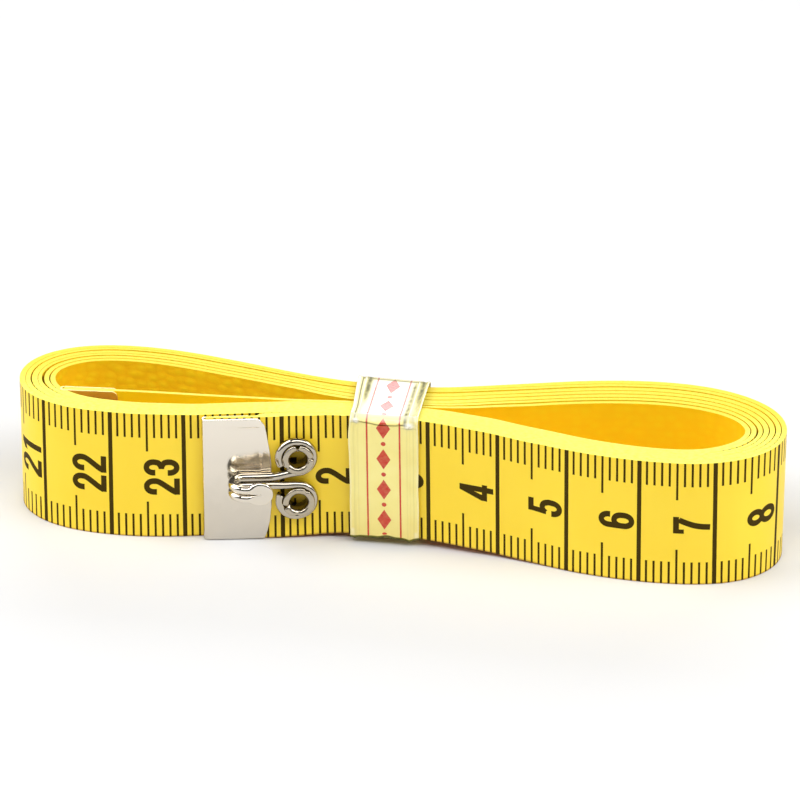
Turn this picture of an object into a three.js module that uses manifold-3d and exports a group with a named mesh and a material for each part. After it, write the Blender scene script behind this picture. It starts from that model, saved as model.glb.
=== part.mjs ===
// Cloth tape measure: a 150 cm coated-fabric strip wound flat into a two-lobed
// coil, held at the waist by a film band. The outer (zero) end carries a folded
// metal tip and a wire dress hook held by two tubular eyelets; the inner end
// carries a plain folded metal tip.
// Units mm, +Z up (across the strip's width), +X along the coil.
import * as THREE from 'three';
import Module from 'manifold-3d';

// ---- driving dimensions -------------------------------------------------
const TAPE_W = 18.3;        // strip width
const TAPE_T = 0.42;        // strip thickness
const ZERO_LEN = 18.3;      // free outer end, left of the band
const WAIST_LIFT = 0.45;    // the band's film holds the waist off the table
const LIFT_X = -1.4;        // where the lift is greatest
const LIFT_HALF = 24;       // half length over which it fades out
const OFFSET = [0.056, 0.0857, 0];   // brings the box's bottom centre to the origin

// Closed plan curve of the coil, uniform cubic B-spline: x, y, layer pitch.
const PLAN = [
  [-25.49, -7.45, 0.52], [-20.32, -6.02, 0.52], [-15.14, -4.72, 0.51], [-9.91, -3.93, 0.51],
  [-4.63, -3.76, 0.51], [0.64, -3.96, 0.51], [5.85, -4.92, 0.54], [11.02, -6.42, 0.56],
  [16.16, -7.99, 0.58], [21.31, -9.48, 0.58], [26.5, -10.7, 0.57], [31.77, -11.45, 0.56],
  [37.2, -11.67, 0.55], [42.74, -11.1, 0.59], [47.89, -9.13, 0.69], [51.51, -5.27, 0.76],
  [52.46, -0.08, 0.78], [50.53, 5.03, 0.82], [46.52, 8.84, 0.86], [41.46, 11.01, 0.89],
  [36.08, 11.82, 0.89], [30.69, 11.72, 0.89], [25.38, 11.01, 0.88], [20.16, 9.82, 0.88],
  [15.02, 8.28, 0.86], [9.89, 6.72, 0.82], [4.67, 5.52, 0.75], [-0.65, 5.12, 0.7],
  [-6.01, 5.14, 0.69], [-11.29, 5.93, 0.69], [-16.46, 7.38, 0.68], [-21.57, 9.02, 0.68],
  [-26.7, 10.47, 0.69], [-31.93, 11.56, 0.69], [-37.33, 12.14, 0.7], [-42.87, 11.87, 0.71],
  [-48.08, 10.04, 0.74], [-51.85, 6.21, 0.75], [-53.0, 0.99, 0.75], [-51.15, -4.03, 0.7],
  [-46.93, -7.42, 0.61], [-41.59, -8.94, 0.58], [-36.07, -9.15, 0.56], [-30.71, -8.58, 0.54],
];
const TAU_END = 6.60;       // turns to where the strip leaves the coil at the waist

// Inner end: outer-face points from the waist into the left lobe.
const INNER_PATH = [[-5.5, -0.02], [-9.5, -0.2], [-14, -0.62], [-19, -1.22], [-24, -1.6],
  [-29, -1.75], [-35, -1.72], [-40, -1.66], [-44.9, -1.6]];
const INNER_SPLIT_X = -20.0;

const SHEET = 0.3;          // metal sheet of both tips
const FIT = 0.06;           // clearance where a tip or rivet grips the strip
const TIP_LEN = 9.2, TIP_DROP = 0.35;        // zero-end tip: length, set-back from the strip's edges
const END_TIP_LEN = 7.6;

const WIRE = 1.15;          // dress hook wire
const RING_S = 12.1, RING_DZ = 3.25, RING_R = 2.33;
const SHANK_DZ = 0.62, HOOK_LEFT = 3.3, BILL_GAP = 3.7;
const BILL_END = 8.0, TONGUE_W = 3.3;

const EYE_BORE = 1.3, EYE_OUT = 1.5, EYE_FLANGE = 2.15, EYE_BACK = 2.2, TAPE_HOLE = 1.7;

const BAND_X0 = -6.25, BAND_X1 = 3.35;       // band along the coil
const BAND_Y0 = -4.62, BAND_Y1 = 5.32;       // its inside faces
const FILM = 0.22, HEM = 0.22, HEM_W = 0.9;  // film and the gathered hems
const BAND_ROOF = TAPE_W + WAIST_LIFT + 0.2;

// ---- helpers --------------------------------------------------------------
const wasm = await Module();
wasm.setup();

function lift(x) {
  const u = (x - LIFT_X) / LIFT_HALF;
  return Math.abs(u) < 1 ? WAIST_LIFT * (1 - u * u) ** 2 : 0;
}

function planAt(tau) {
  const n = PLAN.length, turn = Math.floor(tau), t = (tau - turn) * n, i = Math.floor(t), f = t - i;
  const w = [(1 - f) ** 3 / 6, (3 * f ** 3 - 6 * f * f + 4) / 6, (-3 * f ** 3 + 3 * f * f + 3 * f + 1) / 6, f ** 3 / 6];
  const d = [-((1 - f) ** 2) / 2, (9 * f * f - 12 * f) / 6, (-9 * f * f + 6 * f + 3) / 6, f * f / 2];
  let x = 0, y = 0, p = 0, dx = 0, dy = 0;
  for (let k = 0; k < 4; k++) {
    const c = PLAN[(i - 1 + k + n) % n];
    x += w[k] * c[0]; y += w[k] * c[1]; p += w[k] * c[2]; dx += d[k] * c[0]; dy += d[k] * c[1];
  }
  const l = Math.hypot(dx, dy), nx = dy / l, ny = -dx / l, depth = p * tau;
  return { x: x - nx * depth, y: y - ny * depth, nx, ny };
}

// Closed strip from stations of its outer face.
function strip(stations, zLow, zHigh) {
  const pos = [], idx = [];
  for (const s of stations) {
    const up = lift(s.x);
    const ix = s.x - s.nx * TAPE_T, iy = s.y - s.ny * TAPE_T;
    pos.push(s.x, s.y, zLow + up, s.x, s.y, zHigh + up, ix, iy, zLow + up, ix, iy, zHigh + up);
  }
  const quad = (a, b, c, d) => idx.push(a, b, c, a, c, d);
  for (let i = 0; i + 1 < stations.length; i++) {
    const a = 4 * i, b = a + 4;
    quad(a, b, b + 1, a + 1);          // outer face
    quad(b + 2, a + 2, a + 3, b + 3);  // inner face
    quad(a + 1, b + 1, b + 3, a + 3);  // top edge
    quad(a + 2, b + 2, b, a);          // bottom edge
  }
  const e = 4 * (stations.length - 1);
  quad(0, 1, 3, 2);
  quad(e, e + 2, e + 3, e + 1);
  return geometry(pos, idx);
}

function geometry(pos, idx) {
  const g = new THREE.BufferGeometry();
  g.setAttribute('position', new THREE.BufferAttribute(new Float32Array(pos), 3));
  g.setIndex(idx);
  return g;
}

function toManifold(geo) {
  const g = geo, p = g.attributes.position, key = new Map(), verts = [], tris = [];
  const n = g.index ? g.index.count : p.count;
  for (let i = 0; i < n; i++) {
    const v = g.index ? g.index.getX(i) : i;
    const k = [p.getX(v), p.getY(v), p.getZ(v)].map((c) => Math.round(c * 1e4)).join(',');
    if (!key.has(k)) { key.set(k, verts.length / 3); verts.push(p.getX(v), p.getY(v), p.getZ(v)); }
    tris.push(key.get(k));
  }
  const keep = [];
  for (let i = 0; i < tris.length; i += 3) {
    if (tris[i] !== tris[i + 1] && tris[i + 1] !== tris[i + 2] && tris[i] !== tris[i + 2]) keep.push(tris[i], tris[i + 1], tris[i + 2]);
  }
  return new wasm.Manifold(new wasm.Mesh({ numProp: 3, vertProperties: new Float32Array(verts), triVerts: new Uint32Array(keep) }));
}

function fromManifold(m) {
  const mesh = m.getMesh();
  const pos = [];
  for (let i = 0; i < mesh.vertProperties.length; i += mesh.numProp) {
    pos.push(mesh.vertProperties[i], mesh.vertProperties[i + 1], mesh.vertProperties[i + 2]);
  }
  return geometry(pos, Array.from(mesh.triVerts));
}

// Round tube along points, closed at both ends.
function tube(points, radius, sides) {
  const pos = [], idx = [], n = points.length;
  let up = new THREE.Vector3(0, 0, 1);
  for (let i = 0; i < n; i++) {
    const t = points[Math.min(i + 1, n - 1)].clone().sub(points[Math.max(i - 1, 0)]).normalize();
    if (i === 0 && Math.abs(t.z) > 0.9) up = new THREE.Vector3(1, 0, 0);
    up.sub(t.clone().multiplyScalar(up.dot(t))).normalize();
    const side = t.clone().cross(up);
    for (let k = 0; k < sides; k++) {
      const a = 2 * Math.PI * k / sides;
      const v = points[i].clone().addScaledVector(up, radius * Math.cos(a)).addScaledVector(side, -radius * Math.sin(a));
      pos.push(v.x, v.y, v.z);
    }
  }
  for (let i = 0; i + 1 < n; i++) for (let k = 0; k < sides; k++) {
    const a = i * sides + k, b = i * sides + (k + 1) % sides, c = a + sides, d = b + sides;
    idx.push(a, d, b, a, c, d);
  }
  for (let k = 1; k + 1 < sides; k++) {
    idx.push(0, k, k + 1);
    const o = (n - 1) * sides;
    idx.push(o, o + k + 1, o + k);
  }
  return geometry(pos, idx);
}

// ---- stations of the coil -------------------------------------------------
// One list of turn fractions, dense where the lobes bend, shared by all turns so
// that neighbouring layers have parallel facets.
const fractions = [];
{
  let f = 0;
  while (f < 1 - 1e-9) {
    fractions.push(f);
    const a = planAt(f), b = planAt(f + 0.004), ds = Math.hypot(b.x - a.x, b.y - a.y);
    const bend = Math.abs(Math.atan2(a.nx * b.ny - a.ny * b.nx, a.nx * b.nx + a.ny * b.ny)) / ds;
    const step = Math.min(5.2, Math.max(1.7, 0.62 * Math.sqrt(1 / Math.max(bend, 1e-3))));
    f += 0.004 * step / ds;
  }
}

// Arc length of the outer face fixes where the free end is split off.
let tauSplit = 0;
{
  const zero = planAt(0.0);
  let len = 0, prev = zero;
  for (let t = 0.0005; len < ZERO_LEN + 0.3; t += 0.0005) {
    const q = planAt(t);
    len += Math.hypot(q.x - prev.x, q.y - prev.y);
    prev = q; tauSplit = t;
  }
}

const coil = [planAt(tauSplit)];
for (let turn = 0; turn < 7; turn++) for (const f of fractions) {
  const tau = turn + f;
  if (tau > tauSplit + 0.004 && tau < TAU_END - 0.002) coil.push(planAt(tau));
}
coil.push(planAt(TAU_END));

// Inner end: smooth curve from the last coil station through INNER_PATH. Its
// outer face continues the coil's, so the normal points to +Y here.
const innerCurve = new THREE.CatmullRomCurve3(
  [coil[coil.length - 1], ...INNER_PATH.map(([x, y]) => ({ x, y }))].map((q) => new THREE.Vector3(q.x, q.y, 0)), false, 'centripetal');
function innerAt(u) {
  const p = innerCurve.getPointAt(u), t = innerCurve.getTangentAt(u);
  return { x: p.x, y: p.y, nx: t.y, ny: -t.x };
}
let uSplit = 0;
while (innerAt(uSplit).x > INNER_SPLIT_X) uSplit += 0.0005;
const half = 0.15 / innerCurve.getLength();
const rollTail = [], innerEnd = [];
for (let i = 1; i <= 9; i++) rollTail.push(innerAt((uSplit - half) * i / 9));
for (let i = 0; i <= 12; i++) innerEnd.push(innerAt(uSplit + half + (1 - uSplit - half) * i / 12));

// ---- free outer end -------------------------------------------------------
// Flat from the tip past the hook, then curving into the coil's outer layer.
const FLAT = 15.2;
const hinge = planAt(tauSplit);
const hingeAngle = Math.atan2(hinge.nx, -hinge.ny);
const FLAP_ANGLE = 0.238;
const flap = [];
{
  // walk back from the split line
  let x = hinge.x, y = hinge.y;
  const back = [];
  const steps = 8, bendLen = ZERO_LEN - FLAT;
  const gap = 0.3;
  x -= Math.cos(hingeAngle) * gap; y -= Math.sin(hingeAngle) * gap;
  back.push({ x, y, a: hingeAngle });
  for (let i = 0; i < steps; i++) {
    const a = hingeAngle + (FLAP_ANGLE - hingeAngle) * (i + 0.5) / steps;
    x -= Math.cos(a) * bendLen / steps; y -= Math.sin(a) * bendLen / steps;
    back.push({ x, y, a: hingeAngle + (FLAP_ANGLE - hingeAngle) * (i + 1) / steps });
  }
  for (const s of [FLAT / 2, 0]) back.push({ x: x - Math.cos(FLAP_ANGLE) * (FLAT - s), y: y - Math.sin(FLAP_ANGLE) * (FLAT - s), a: FLAP_ANGLE });
  for (const b of back.reverse()) flap.push({ x: b.x, y: b.y, nx: Math.sin(b.a), ny: -Math.cos(b.a) });
}
// Local frame of the flat part: x along the strip from its end, y into the coil, z up.
const flapFrame = new THREE.Matrix4().makeRotationZ(FLAP_ANGLE).setPosition(flap[0].x, flap[0].y, 0);
const MID = TAPE_W / 2;

function toFlap(geo) {
  const g = geo.clone(), p = g.attributes.position, v = new THREE.Vector3();
  for (let i = 0; i < p.count; i++) {
    v.fromBufferAttribute(p, i).applyMatrix4(flapFrame);
    // follow the strip's lift at the foot of the point on the strip
    const s = p.getX(i), fx = flap[0].x + Math.cos(FLAP_ANGLE) * s;
    p.setXYZ(i, v.x, v.y, v.z + lift(fx));
  }
  return g;
}

function cylinderY(radius, x, z, y0, y1, sides) {
  const g = new THREE.CylinderGeometry(radius, radius, y1 - y0, sides);
  g.translate(x, (y0 + y1) / 2, z);
  return g;
}

// Sheet folded round a strip end: leaves on both faces, joined at x = -fold.
function foldedTip(length, thickness) {
  const half = thickness / 2, cy = TAPE_T / 2;
  const rIn = half + FIT, rOut = rIn + SHEET;
  const shape = new THREE.Shape();
  shape.moveTo(length, cy - rOut);
  shape.lineTo(length, cy - rIn);
  shape.lineTo(0, cy - rIn);
  for (let i = 1; i < 8; i++) shape.lineTo(-rIn * Math.sin(Math.PI * i / 8), cy - rIn * Math.cos(Math.PI * i / 8));
  shape.lineTo(0, cy + rIn);
  shape.lineTo(length, cy + rIn);
  shape.lineTo(length, cy + rOut);
  shape.lineTo(0, cy + rOut);
  for (let i = 7; i > 0; i--) shape.lineTo(-rOut * Math.sin(Math.PI * i / 8), cy - rOut * Math.cos(Math.PI * i / 8));
  shape.lineTo(0, cy - rOut);
  const g = new THREE.ExtrudeGeometry(shape, { depth: TAPE_W - 2 * TIP_DROP, bevelEnabled: false });
  g.translate(0, 0, TIP_DROP);
  return g;
}

// Outline seen from the front (x, z), cut through both leaves.
function outlineY(points, y0, y1) {
  const shape = new THREE.Shape(points.map(([x, z]) => new THREE.Vector2(x, z)));
  const g = new THREE.ExtrudeGeometry(shape, { depth: y1 - y0, bevelEnabled: false });
  g.rotateX(Math.PI / 2);   // (x, z, d) -> (x, -d, z)
  g.translate(0, y1, 0);
  return g;
}

const parts = [];
function add(name, geo, color, roughness, metalness) {
  geo.deleteAttribute('normal'); geo.deleteAttribute('uv');
  geo.translate(OFFSET[0], OFFSET[1], OFFSET[2]);
  geo.computeVertexNormals();
  const mesh = new THREE.Mesh(geo, new THREE.MeshStandardMaterial({ color, roughness, metalness }));
  mesh.name = name;
  parts.push(mesh);
}

const YELLOW = 0xf7d83f, NICKEL = 0xd9d2c6, FILM_COLOUR = 0xf3e49a;

// ---- strip pieces ---------------------------------------------------------
add('tape_roll', strip([...coil, ...rollTail], 0, TAPE_W), YELLOW, 0.5, 0);

{
  let body = toManifold(strip(flap, 0, TAPE_W));
  for (const dz of [-RING_DZ, RING_DZ]) {
    body = body.subtract(toManifold(toFlap(cylinderY(TAPE_HOLE, RING_S, MID + dz, -1, TAPE_T + 1, 16))));
  }
  add('tape_free_end', fromManifold(body), YELLOW, 0.5, 0);
}

add('tape_inner_end', strip(innerEnd, 0, TAPE_W), YELLOW, 0.5, 0);

// ---- zero-end tip ---------------------------------------------------------
{
  const z0 = TIP_DROP, z1 = TAPE_W - TIP_DROP, h = z1 - z0;
  const right = [[7.5, 0], [8.45, 0.045], [8.85, 0.13], [9.1, 0.28], [TIP_LEN, 0.5], [9.1, 0.72], [8.85, 0.87], [8.45, 0.955], [7.5, 1]];
  const pts = [[-2, z0 - 0.01], ...right.map(([x, k]) => [x, z0 - 0.01 + k * (h + 0.02)]), [-2, z1 + 0.01]];
  let tip = toManifold(foldedTip(TIP_LEN + 0.5, TAPE_T)).intersect(toManifold(outlineY(pts, -2, 2)));
  const face = TAPE_T / 2 - (TAPE_T / 2 + FIT + SHEET);
  for (const [za, zb] of [[1.1, 5.0], [10.7, 16.9]]) {
    const press = new THREE.BoxGeometry(3.1, 0.2, zb - za);
    press.translate(6.2, face, (za + zb) / 2);
    tip = tip.subtract(toManifold(press));
  }
  add('start_tip', toFlap(fromManifold(tip)), NICKEL, 0.2, 1);
}

// ---- dress hook -----------------------------------------------------------
{
  const r = WIRE / 2;
  const seat = r + 0.06;                                  // wire on the strip
  const over = SHEET + FIT + r + 0.06;                    // wire over the tip
  const depthAt = (x) => {
    if (x >= RING_S) return seat + 0.08 * (1 - Math.min(1, (x - RING_S) / RING_R));
    const k = Math.min(1, (RING_S - x) / 2.9);
    return seat + 0.08 + (over - seat - 0.08) * k * k * (3 - 2 * k);
  };
  const wire = (sign) => {
    const pts = [];
    const c = RING_DZ;
    for (let i = 0; i <= 20; i++) {
      const a = (204 - (204 + 90) * i / 20) * Math.PI / 180;
      const x = RING_S + RING_R * Math.cos(a), z = c + RING_R * Math.sin(a);
      const ringDepth = seat + 0.08 * (1 - (x - RING_S) / RING_R);
      pts.push([x, -ringDepth, z]);
    }
    const ringLow = c - RING_R;
    for (const [x, k] of [[11.4, 0.18], [10.7, 0.5], [10.0, 0.82], [9.3, 1], [7.6, 1]]) {
      pts.push([x, -depthAt(x), ringLow + (SHANK_DZ - ringLow) * k]);
    }
    const R = BILL_GAP / 2, cx = HOOK_LEFT + R + r;
    for (let i = 0; i <= 8; i++) {
      const a = Math.PI * i / 8;
      pts.push([cx - R * Math.sin(a), -(over + R - R * Math.cos(a)), SHANK_DZ]);
    }
    pts.push([BILL_END, -(over + BILL_GAP), SHANK_DZ]);
    return tube(pts.map(([x, y, z]) => new THREE.Vector3(x, y, MID + sign * z)), r, 10);
  };
  // flattened hairpin end
  const half = TONGUE_W / 2, tongue = new THREE.Shape();
  tongue.moveTo(7.2, -0.95);
  const rim = [[7.7, -1.45], [8.2, -half], [8.75, -1.5], [9.2, -1.05], [9.4, -0.45]];
  for (const [x, z] of rim) tongue.lineTo(x, z);
  for (const [x, z] of rim.slice().reverse()) tongue.lineTo(x, -z);
  tongue.lineTo(7.2, 0.95);
  const plate = new THREE.ExtrudeGeometry(tongue, { depth: 0.8, bevelEnabled: false });
  plate.rotateX(Math.PI / 2);
  plate.translate(0, -(over + BILL_GAP) + 0.4, MID);
  const hook = toManifold(wire(1)).add(toManifold(wire(-1))).add(toManifold(plate));
  add('dress_hook', toFlap(fromManifold(hook)), NICKEL, 0.18, 1);
}

// ---- eyelets --------------------------------------------------------------
for (const [name, dz] of [['eyelet_upper', RING_DZ], ['eyelet_lower', -RING_DZ]]) {
  const top = WIRE + 0.34, back = TAPE_T + 0.06;
  // radius, height towards the viewer
  const profile = [
    [EYE_BORE, -back - 0.22], [EYE_BACK, -back - 0.22], [EYE_BACK, -back], [EYE_OUT, -back],
    [EYE_OUT, top - 0.16], [EYE_OUT + 0.2, top], [EYE_FLANGE, top], [EYE_FLANGE, top + 0.14],
    [EYE_FLANGE - 0.2, top + 0.3], [EYE_BORE + 0.3, top + 0.3], [EYE_BORE, top + 0.05], [EYE_BORE, -back - 0.22],
  ].map(([r, h]) => new THREE.Vector2(r, h));
  const g = new THREE.LatheGeometry(profile, 24);
  g.rotateX(Math.PI / 2);            // lathe axis y -> z
  const p = g.attributes.position;
  for (let i = 0; i < p.count; i++) p.setXYZ(i, RING_S + p.getX(i), -p.getZ(i), MID + dz + p.getY(i));
  add(name, toFlap(fromManifold(toManifold(g))), NICKEL, 0.25, 1);
}

// ---- inner-end tip --------------------------------------------------------
{
  const last = innerEnd[innerEnd.length - 1], before = innerEnd[innerEnd.length - 2];
  const dir = Math.atan2(before.y - last.y, before.x - last.x);
  const z0 = TIP_DROP, z1 = TAPE_W - TIP_DROP;
  const pts = [[-2, z0 - 0.01], [END_TIP_LEN - 0.7, z0 - 0.01], [END_TIP_LEN - 0.2, z0 + 0.2], [END_TIP_LEN, z0 + 0.7],
    [END_TIP_LEN, z1 - 0.7], [END_TIP_LEN - 0.2, z1 - 0.2], [END_TIP_LEN - 0.7, z1 + 0.01], [-2, z1 + 0.01]];
  const tip = toManifold(foldedTip(END_TIP_LEN + 0.5, TAPE_T + 0.14)).intersect(toManifold(outlineY(pts, -2, 2)));
  const g = fromManifold(tip);
  // local frame: x from the strip's end back along it; the strip lies on local +y
  const side = new THREE.Matrix4().makeRotationZ(dir).setPosition(last.x, last.y, 0);
  const p = g.attributes.position, v = new THREE.Vector3();
  for (let i = 0; i < p.count; i++) {
    v.set(p.getX(i), p.getY(i) - TAPE_T, p.getZ(i)).applyMatrix4(side);
    p.setXYZ(i, v.x, v.y, v.z);
  }
  add('end_tip', g, NICKEL, 0.2, 1);
}

// ---- band -----------------------------------------------------------------
{
  const ring = (grow, x0, x1) => {
    const y0 = BAND_Y0 - FILM - grow, y1 = BAND_Y1 + FILM + grow, z1 = BAND_ROOF + FILM + grow, r = 0.8 + grow;
    const round = (s, a, b, c, d, q) => {
      s.moveTo(a + q, c);
      s.lineTo(b - q, c); s.lineTo(b - q * 0.3, c + q * 0.3); s.lineTo(b, c + q);
      s.lineTo(b, d - q); s.lineTo(b - q * 0.3, d - q * 0.3); s.lineTo(b - q, d);
      s.lineTo(a + q, d); s.lineTo(a + q * 0.3, d - q * 0.3); s.lineTo(a, d - q);
      s.lineTo(a, c + q); s.lineTo(a + q * 0.3, c + q * 0.3); s.lineTo(a + q, c);
    };
    const outer = new THREE.Shape();
    round(outer, y0, y1, 0, z1, r);
    const hole = new THREE.Path();
    round(hole, BAND_Y0, BAND_Y1, FILM, BAND_ROOF, 0.08);
    outer.holes.push(hole);
    const g = new THREE.ExtrudeGeometry(outer, { depth: x1 - x0, bevelEnabled: false });
    // (y, z, x) -> (x, y, z)
    const p = g.attributes.position;
    for (let i = 0; i < p.count; i++) p.setXYZ(i, x0 + p.getZ(i), p.getX(i), p.getY(i));
    return toManifold(g);
  };
  const body = ring(0, BAND_X0, BAND_X1).add(ring(HEM, BAND_X0, BAND_X0 + HEM_W)).add(ring(HEM, BAND_X1 - HEM_W, BAND_X1));
  add('band', fromManifold(body), FILM_COLOUR, 0.3, 0);
}

const group = new THREE.Group();
group.name = 'tape_measure';
for (const m of parts) group.add(m);
export default group;
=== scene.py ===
"""Looks of a cloth tape measure, wound flat and held by a film band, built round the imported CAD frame.

The strip is one ribbon that follows the coil's plan curve. Its scale is part of the mesh: every
tick and numeral is a set of faces in the strip's own surface. Lengths are in millimetres here and
become metres when a mesh is made.
"""

import math

import bpy
import numpy as np
from mathutils import Matrix, Vector, noise
from mathutils.geometry import delaunay_2d_cdt


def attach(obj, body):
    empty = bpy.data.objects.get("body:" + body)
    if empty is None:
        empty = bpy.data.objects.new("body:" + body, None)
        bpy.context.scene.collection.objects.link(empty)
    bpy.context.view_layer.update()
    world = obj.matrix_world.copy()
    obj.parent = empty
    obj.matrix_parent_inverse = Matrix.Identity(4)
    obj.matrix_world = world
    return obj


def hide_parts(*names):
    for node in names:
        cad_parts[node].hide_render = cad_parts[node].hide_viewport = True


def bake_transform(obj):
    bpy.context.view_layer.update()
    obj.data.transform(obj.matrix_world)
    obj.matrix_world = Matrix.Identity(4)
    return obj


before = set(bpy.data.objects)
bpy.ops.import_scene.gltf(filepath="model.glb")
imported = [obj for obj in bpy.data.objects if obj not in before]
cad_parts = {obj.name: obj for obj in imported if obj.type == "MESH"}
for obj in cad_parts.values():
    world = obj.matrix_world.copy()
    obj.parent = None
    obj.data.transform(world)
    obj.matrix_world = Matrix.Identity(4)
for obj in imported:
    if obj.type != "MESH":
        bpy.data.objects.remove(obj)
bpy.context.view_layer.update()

MM = 0.001

# ---- dimensions, as in the CAD ---------------------------------------------
TAPE_W = 18.3  # strip width
STRIP_T = 0.5  # strip thickness with its coating
ZERO_LEN = 18.3  # free outer end, left of the band
OFFSET = (0.056, 0.0857)
WAIST_LIFT, LIFT_X, LIFT_HALF = 0.45, 3.0, 20.0
BACK_LIFT, BACK_X, BACK_HALF = 0.22, -6.0, 13.0
FRONT_LIFT, FRONT_X, FRONT_HALF = 0.8, 0.5, 22.0
PLAN = np.array(
    [
        [-25.49, -7.45, 0.52], [-20.32, -6.02, 0.52], [-15.14, -4.72, 0.51], [-9.91, -3.93, 0.51],
        [-4.63, -3.76, 0.51], [0.64, -3.96, 0.51], [5.85, -4.92, 0.54], [11.02, -6.42, 0.56],
        [16.16, -7.99, 0.58], [21.31, -9.48, 0.58], [26.5, -10.7, 0.57], [31.77, -11.45, 0.56],
        [37.2, -11.67, 0.55], [42.74, -11.1, 0.59], [47.89, -9.13, 0.69], [51.51, -5.27, 0.76],
        [52.46, -0.08, 0.79], [50.53, 5.03, 0.86], [46.52, 8.76, 0.93], [41.46, 10.89, 0.98],
        [36.08, 11.7, 0.99], [30.69, 11.62, 0.99], [25.38, 10.93, 0.985], [20.16, 9.8, 0.98],
        [15.02, 8.28, 0.95], [9.89, 6.72, 0.89], [4.67, 5.52, 0.8], [-0.65, 5.12, 0.72],
        [-6.01, 5.14, 0.69], [-11.29, 5.93, 0.69], [-16.46, 7.38, 0.72], [-21.57, 9.02, 0.77],
        [-26.7, 10.47, 0.79], [-31.93, 11.56, 0.78], [-37.33, 12.1, 0.775], [-42.87, 11.81, 0.78],
        [-48.08, 10.04, 0.82], [-52.03, 6.21, 0.85], [-53.18, 0.99, 0.85], [-51.33, -4.03, 0.78],
        [-46.93, -7.42, 0.66], [-41.59, -8.94, 0.58], [-36.07, -9.15, 0.56], [-30.71, -8.58, 0.54],
    ]
)
TAU_END = 6.60
INNER_PATH = [
    [-5.5, -0.35], [-9.5, -0.72], [-14, -0.88], [-19, -0.95], [-24, -1.1],
    [-29, -1.19], [-35, -1.32], [-40, -1.54], [-45.3, -1.84],
]
FLAT, FLAP_ANGLE = 15.2, 0.238
RING_S, RING_DZ, RING_R = 12.7, 3.25, 2.33
WIRE = 1.15
MID = TAPE_W / 2
HOOK_Z = MID - 0.08  # the hook sits a little below the middle

# The printed scale against the distance along the strip: the print starts a little in from the
# folded end and is a touch shorter than the strip's outer face.
SCALE_AT = np.array([-0.62, 10, 15, 30, 40, 50, 60, 70, 80, 210, 220, 230, 1500])
SCALE_S = np.array([0, 10.6, 15.57, 30.42, 40.4, 50.34, 60.34, 70.43, 80.5, 209.62, 219.50, 229.42, None], dtype=object)
FREE_CUT, INNER_CUT = 22.5, 1454.2  # where the ribbon is parted, under the band

LINE_W, TICK_W = 0.58, 0.3
TICK_TOP, TICK_LOW, HALF_TOP, HALF_LOW = 3.53, 3.36, 5.55, 5.25
NUM_W, NUM_H, NUM_GAP, NUM_FOOT = 2.48, 4.88, 0.38, 0.62
NUM_DOWN = 0.2  # numerals sit this much below the middle of the strip


def smooth(a, b, x):
    t = np.clip((np.asarray(x, float) - a) / (b - a), 0, 1)
    return t * t * (3 - 2 * t)


def waist(x, mid, half):
    """1 in the middle of the waist, 0 where the coil lies on the table."""
    u = (np.asarray(x, float) - OFFSET[0] - mid) / half
    return np.where(np.abs(u) < 1, (1 - u * u) ** 2, 0.0)


def tilt(x, y):
    """The waist is also tipped up at its front: the height that adds."""
    return FRONT_LIFT * waist(x, FRONT_X, FRONT_HALF) * (1 - np.clip((np.asarray(y, float) + 4.9) / 10.2, 0, 1))


def lift(x, y=-9.0):
    """How far the band holds the waist off the table. The back layers hang lower than the front ones."""
    back = smooth(-2.0, 2.0, y)
    rear = BACK_LIFT * waist(x, BACK_X, BACK_HALF) + 0.1 * (waist(x, 10.0, 9.0) + waist(x, -17.0, 9.0))
    return WAIST_LIFT * waist(x, LIFT_X, LIFT_HALF) * (1 - back) + rear * back + tilt(x, y)


# The front layers lean and bow a little where the band pulls them in: forward shift at the foot and further
# shift at the top, by place along X.
BOW = np.array(
    [(-47, 0), (-39, 0), (-33, 0.12), (-26, 0.15), (-16.2, 0.5), (-11.6, 0.36), (-7, 0.12), (4.3, 0.12), (9, 0), (14, -0.38), (19.3, -0.42), (25, -0.2), (37, -0.15), (47, 0)]
)
LEAN = np.array(
    [(-50, 0), (-46, -0.25), (-39, -0.5), (-32, -0.42), (-26, 0), (-14.6, 0.05), (-9.8, 0.7), (-7, 1.0), (0, 0.95), (5.7, 0.8), (11.6, 0.65), (17, 0.65), (23, 0.3), (35, 0.3), (41, 0.4), (46, 0.2), (50, 0)]
)


PUSH = 1.9  # where the waist is tipped up it also stands forward, by this much for each unit of height


def eased(table, x):
    """Value of a table of (place, value) with soft turns."""
    at, value = table.T
    x = np.clip(np.asarray(x, float), at[0], at[-1])
    i = np.clip(np.searchsorted(at, x, side="right") - 1, 0, len(at) - 2)
    f = (x - at[i]) / (at[i + 1] - at[i])
    f = 0.5 * f + 0.5 * f * f * (3 - 2 * f)
    return value[i] + (value[i + 1] - value[i]) * f


def settle(q, hold=1.0):
    """Points of the coil as the band holds them: the front layers bowed and leaning, the back ones upright."""
    q = np.array(q, float)
    front = hold * (1 - smooth(0.0, 5.0, q[..., 1]))
    swing = PUSH * tilt(q[..., 0], q[..., 1])
    q[..., 1] -= swing + front * (eased(BOW, q[..., 0]) + eased(LEAN, q[..., 0]) * q[..., 2] / TAPE_W)
    q[..., 0] += 0.157 * swing + smooth(44.0, 51.0, q[..., 0]) * (0.32 * q[..., 2] / TAPE_W - 0.18)
    return q


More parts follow.
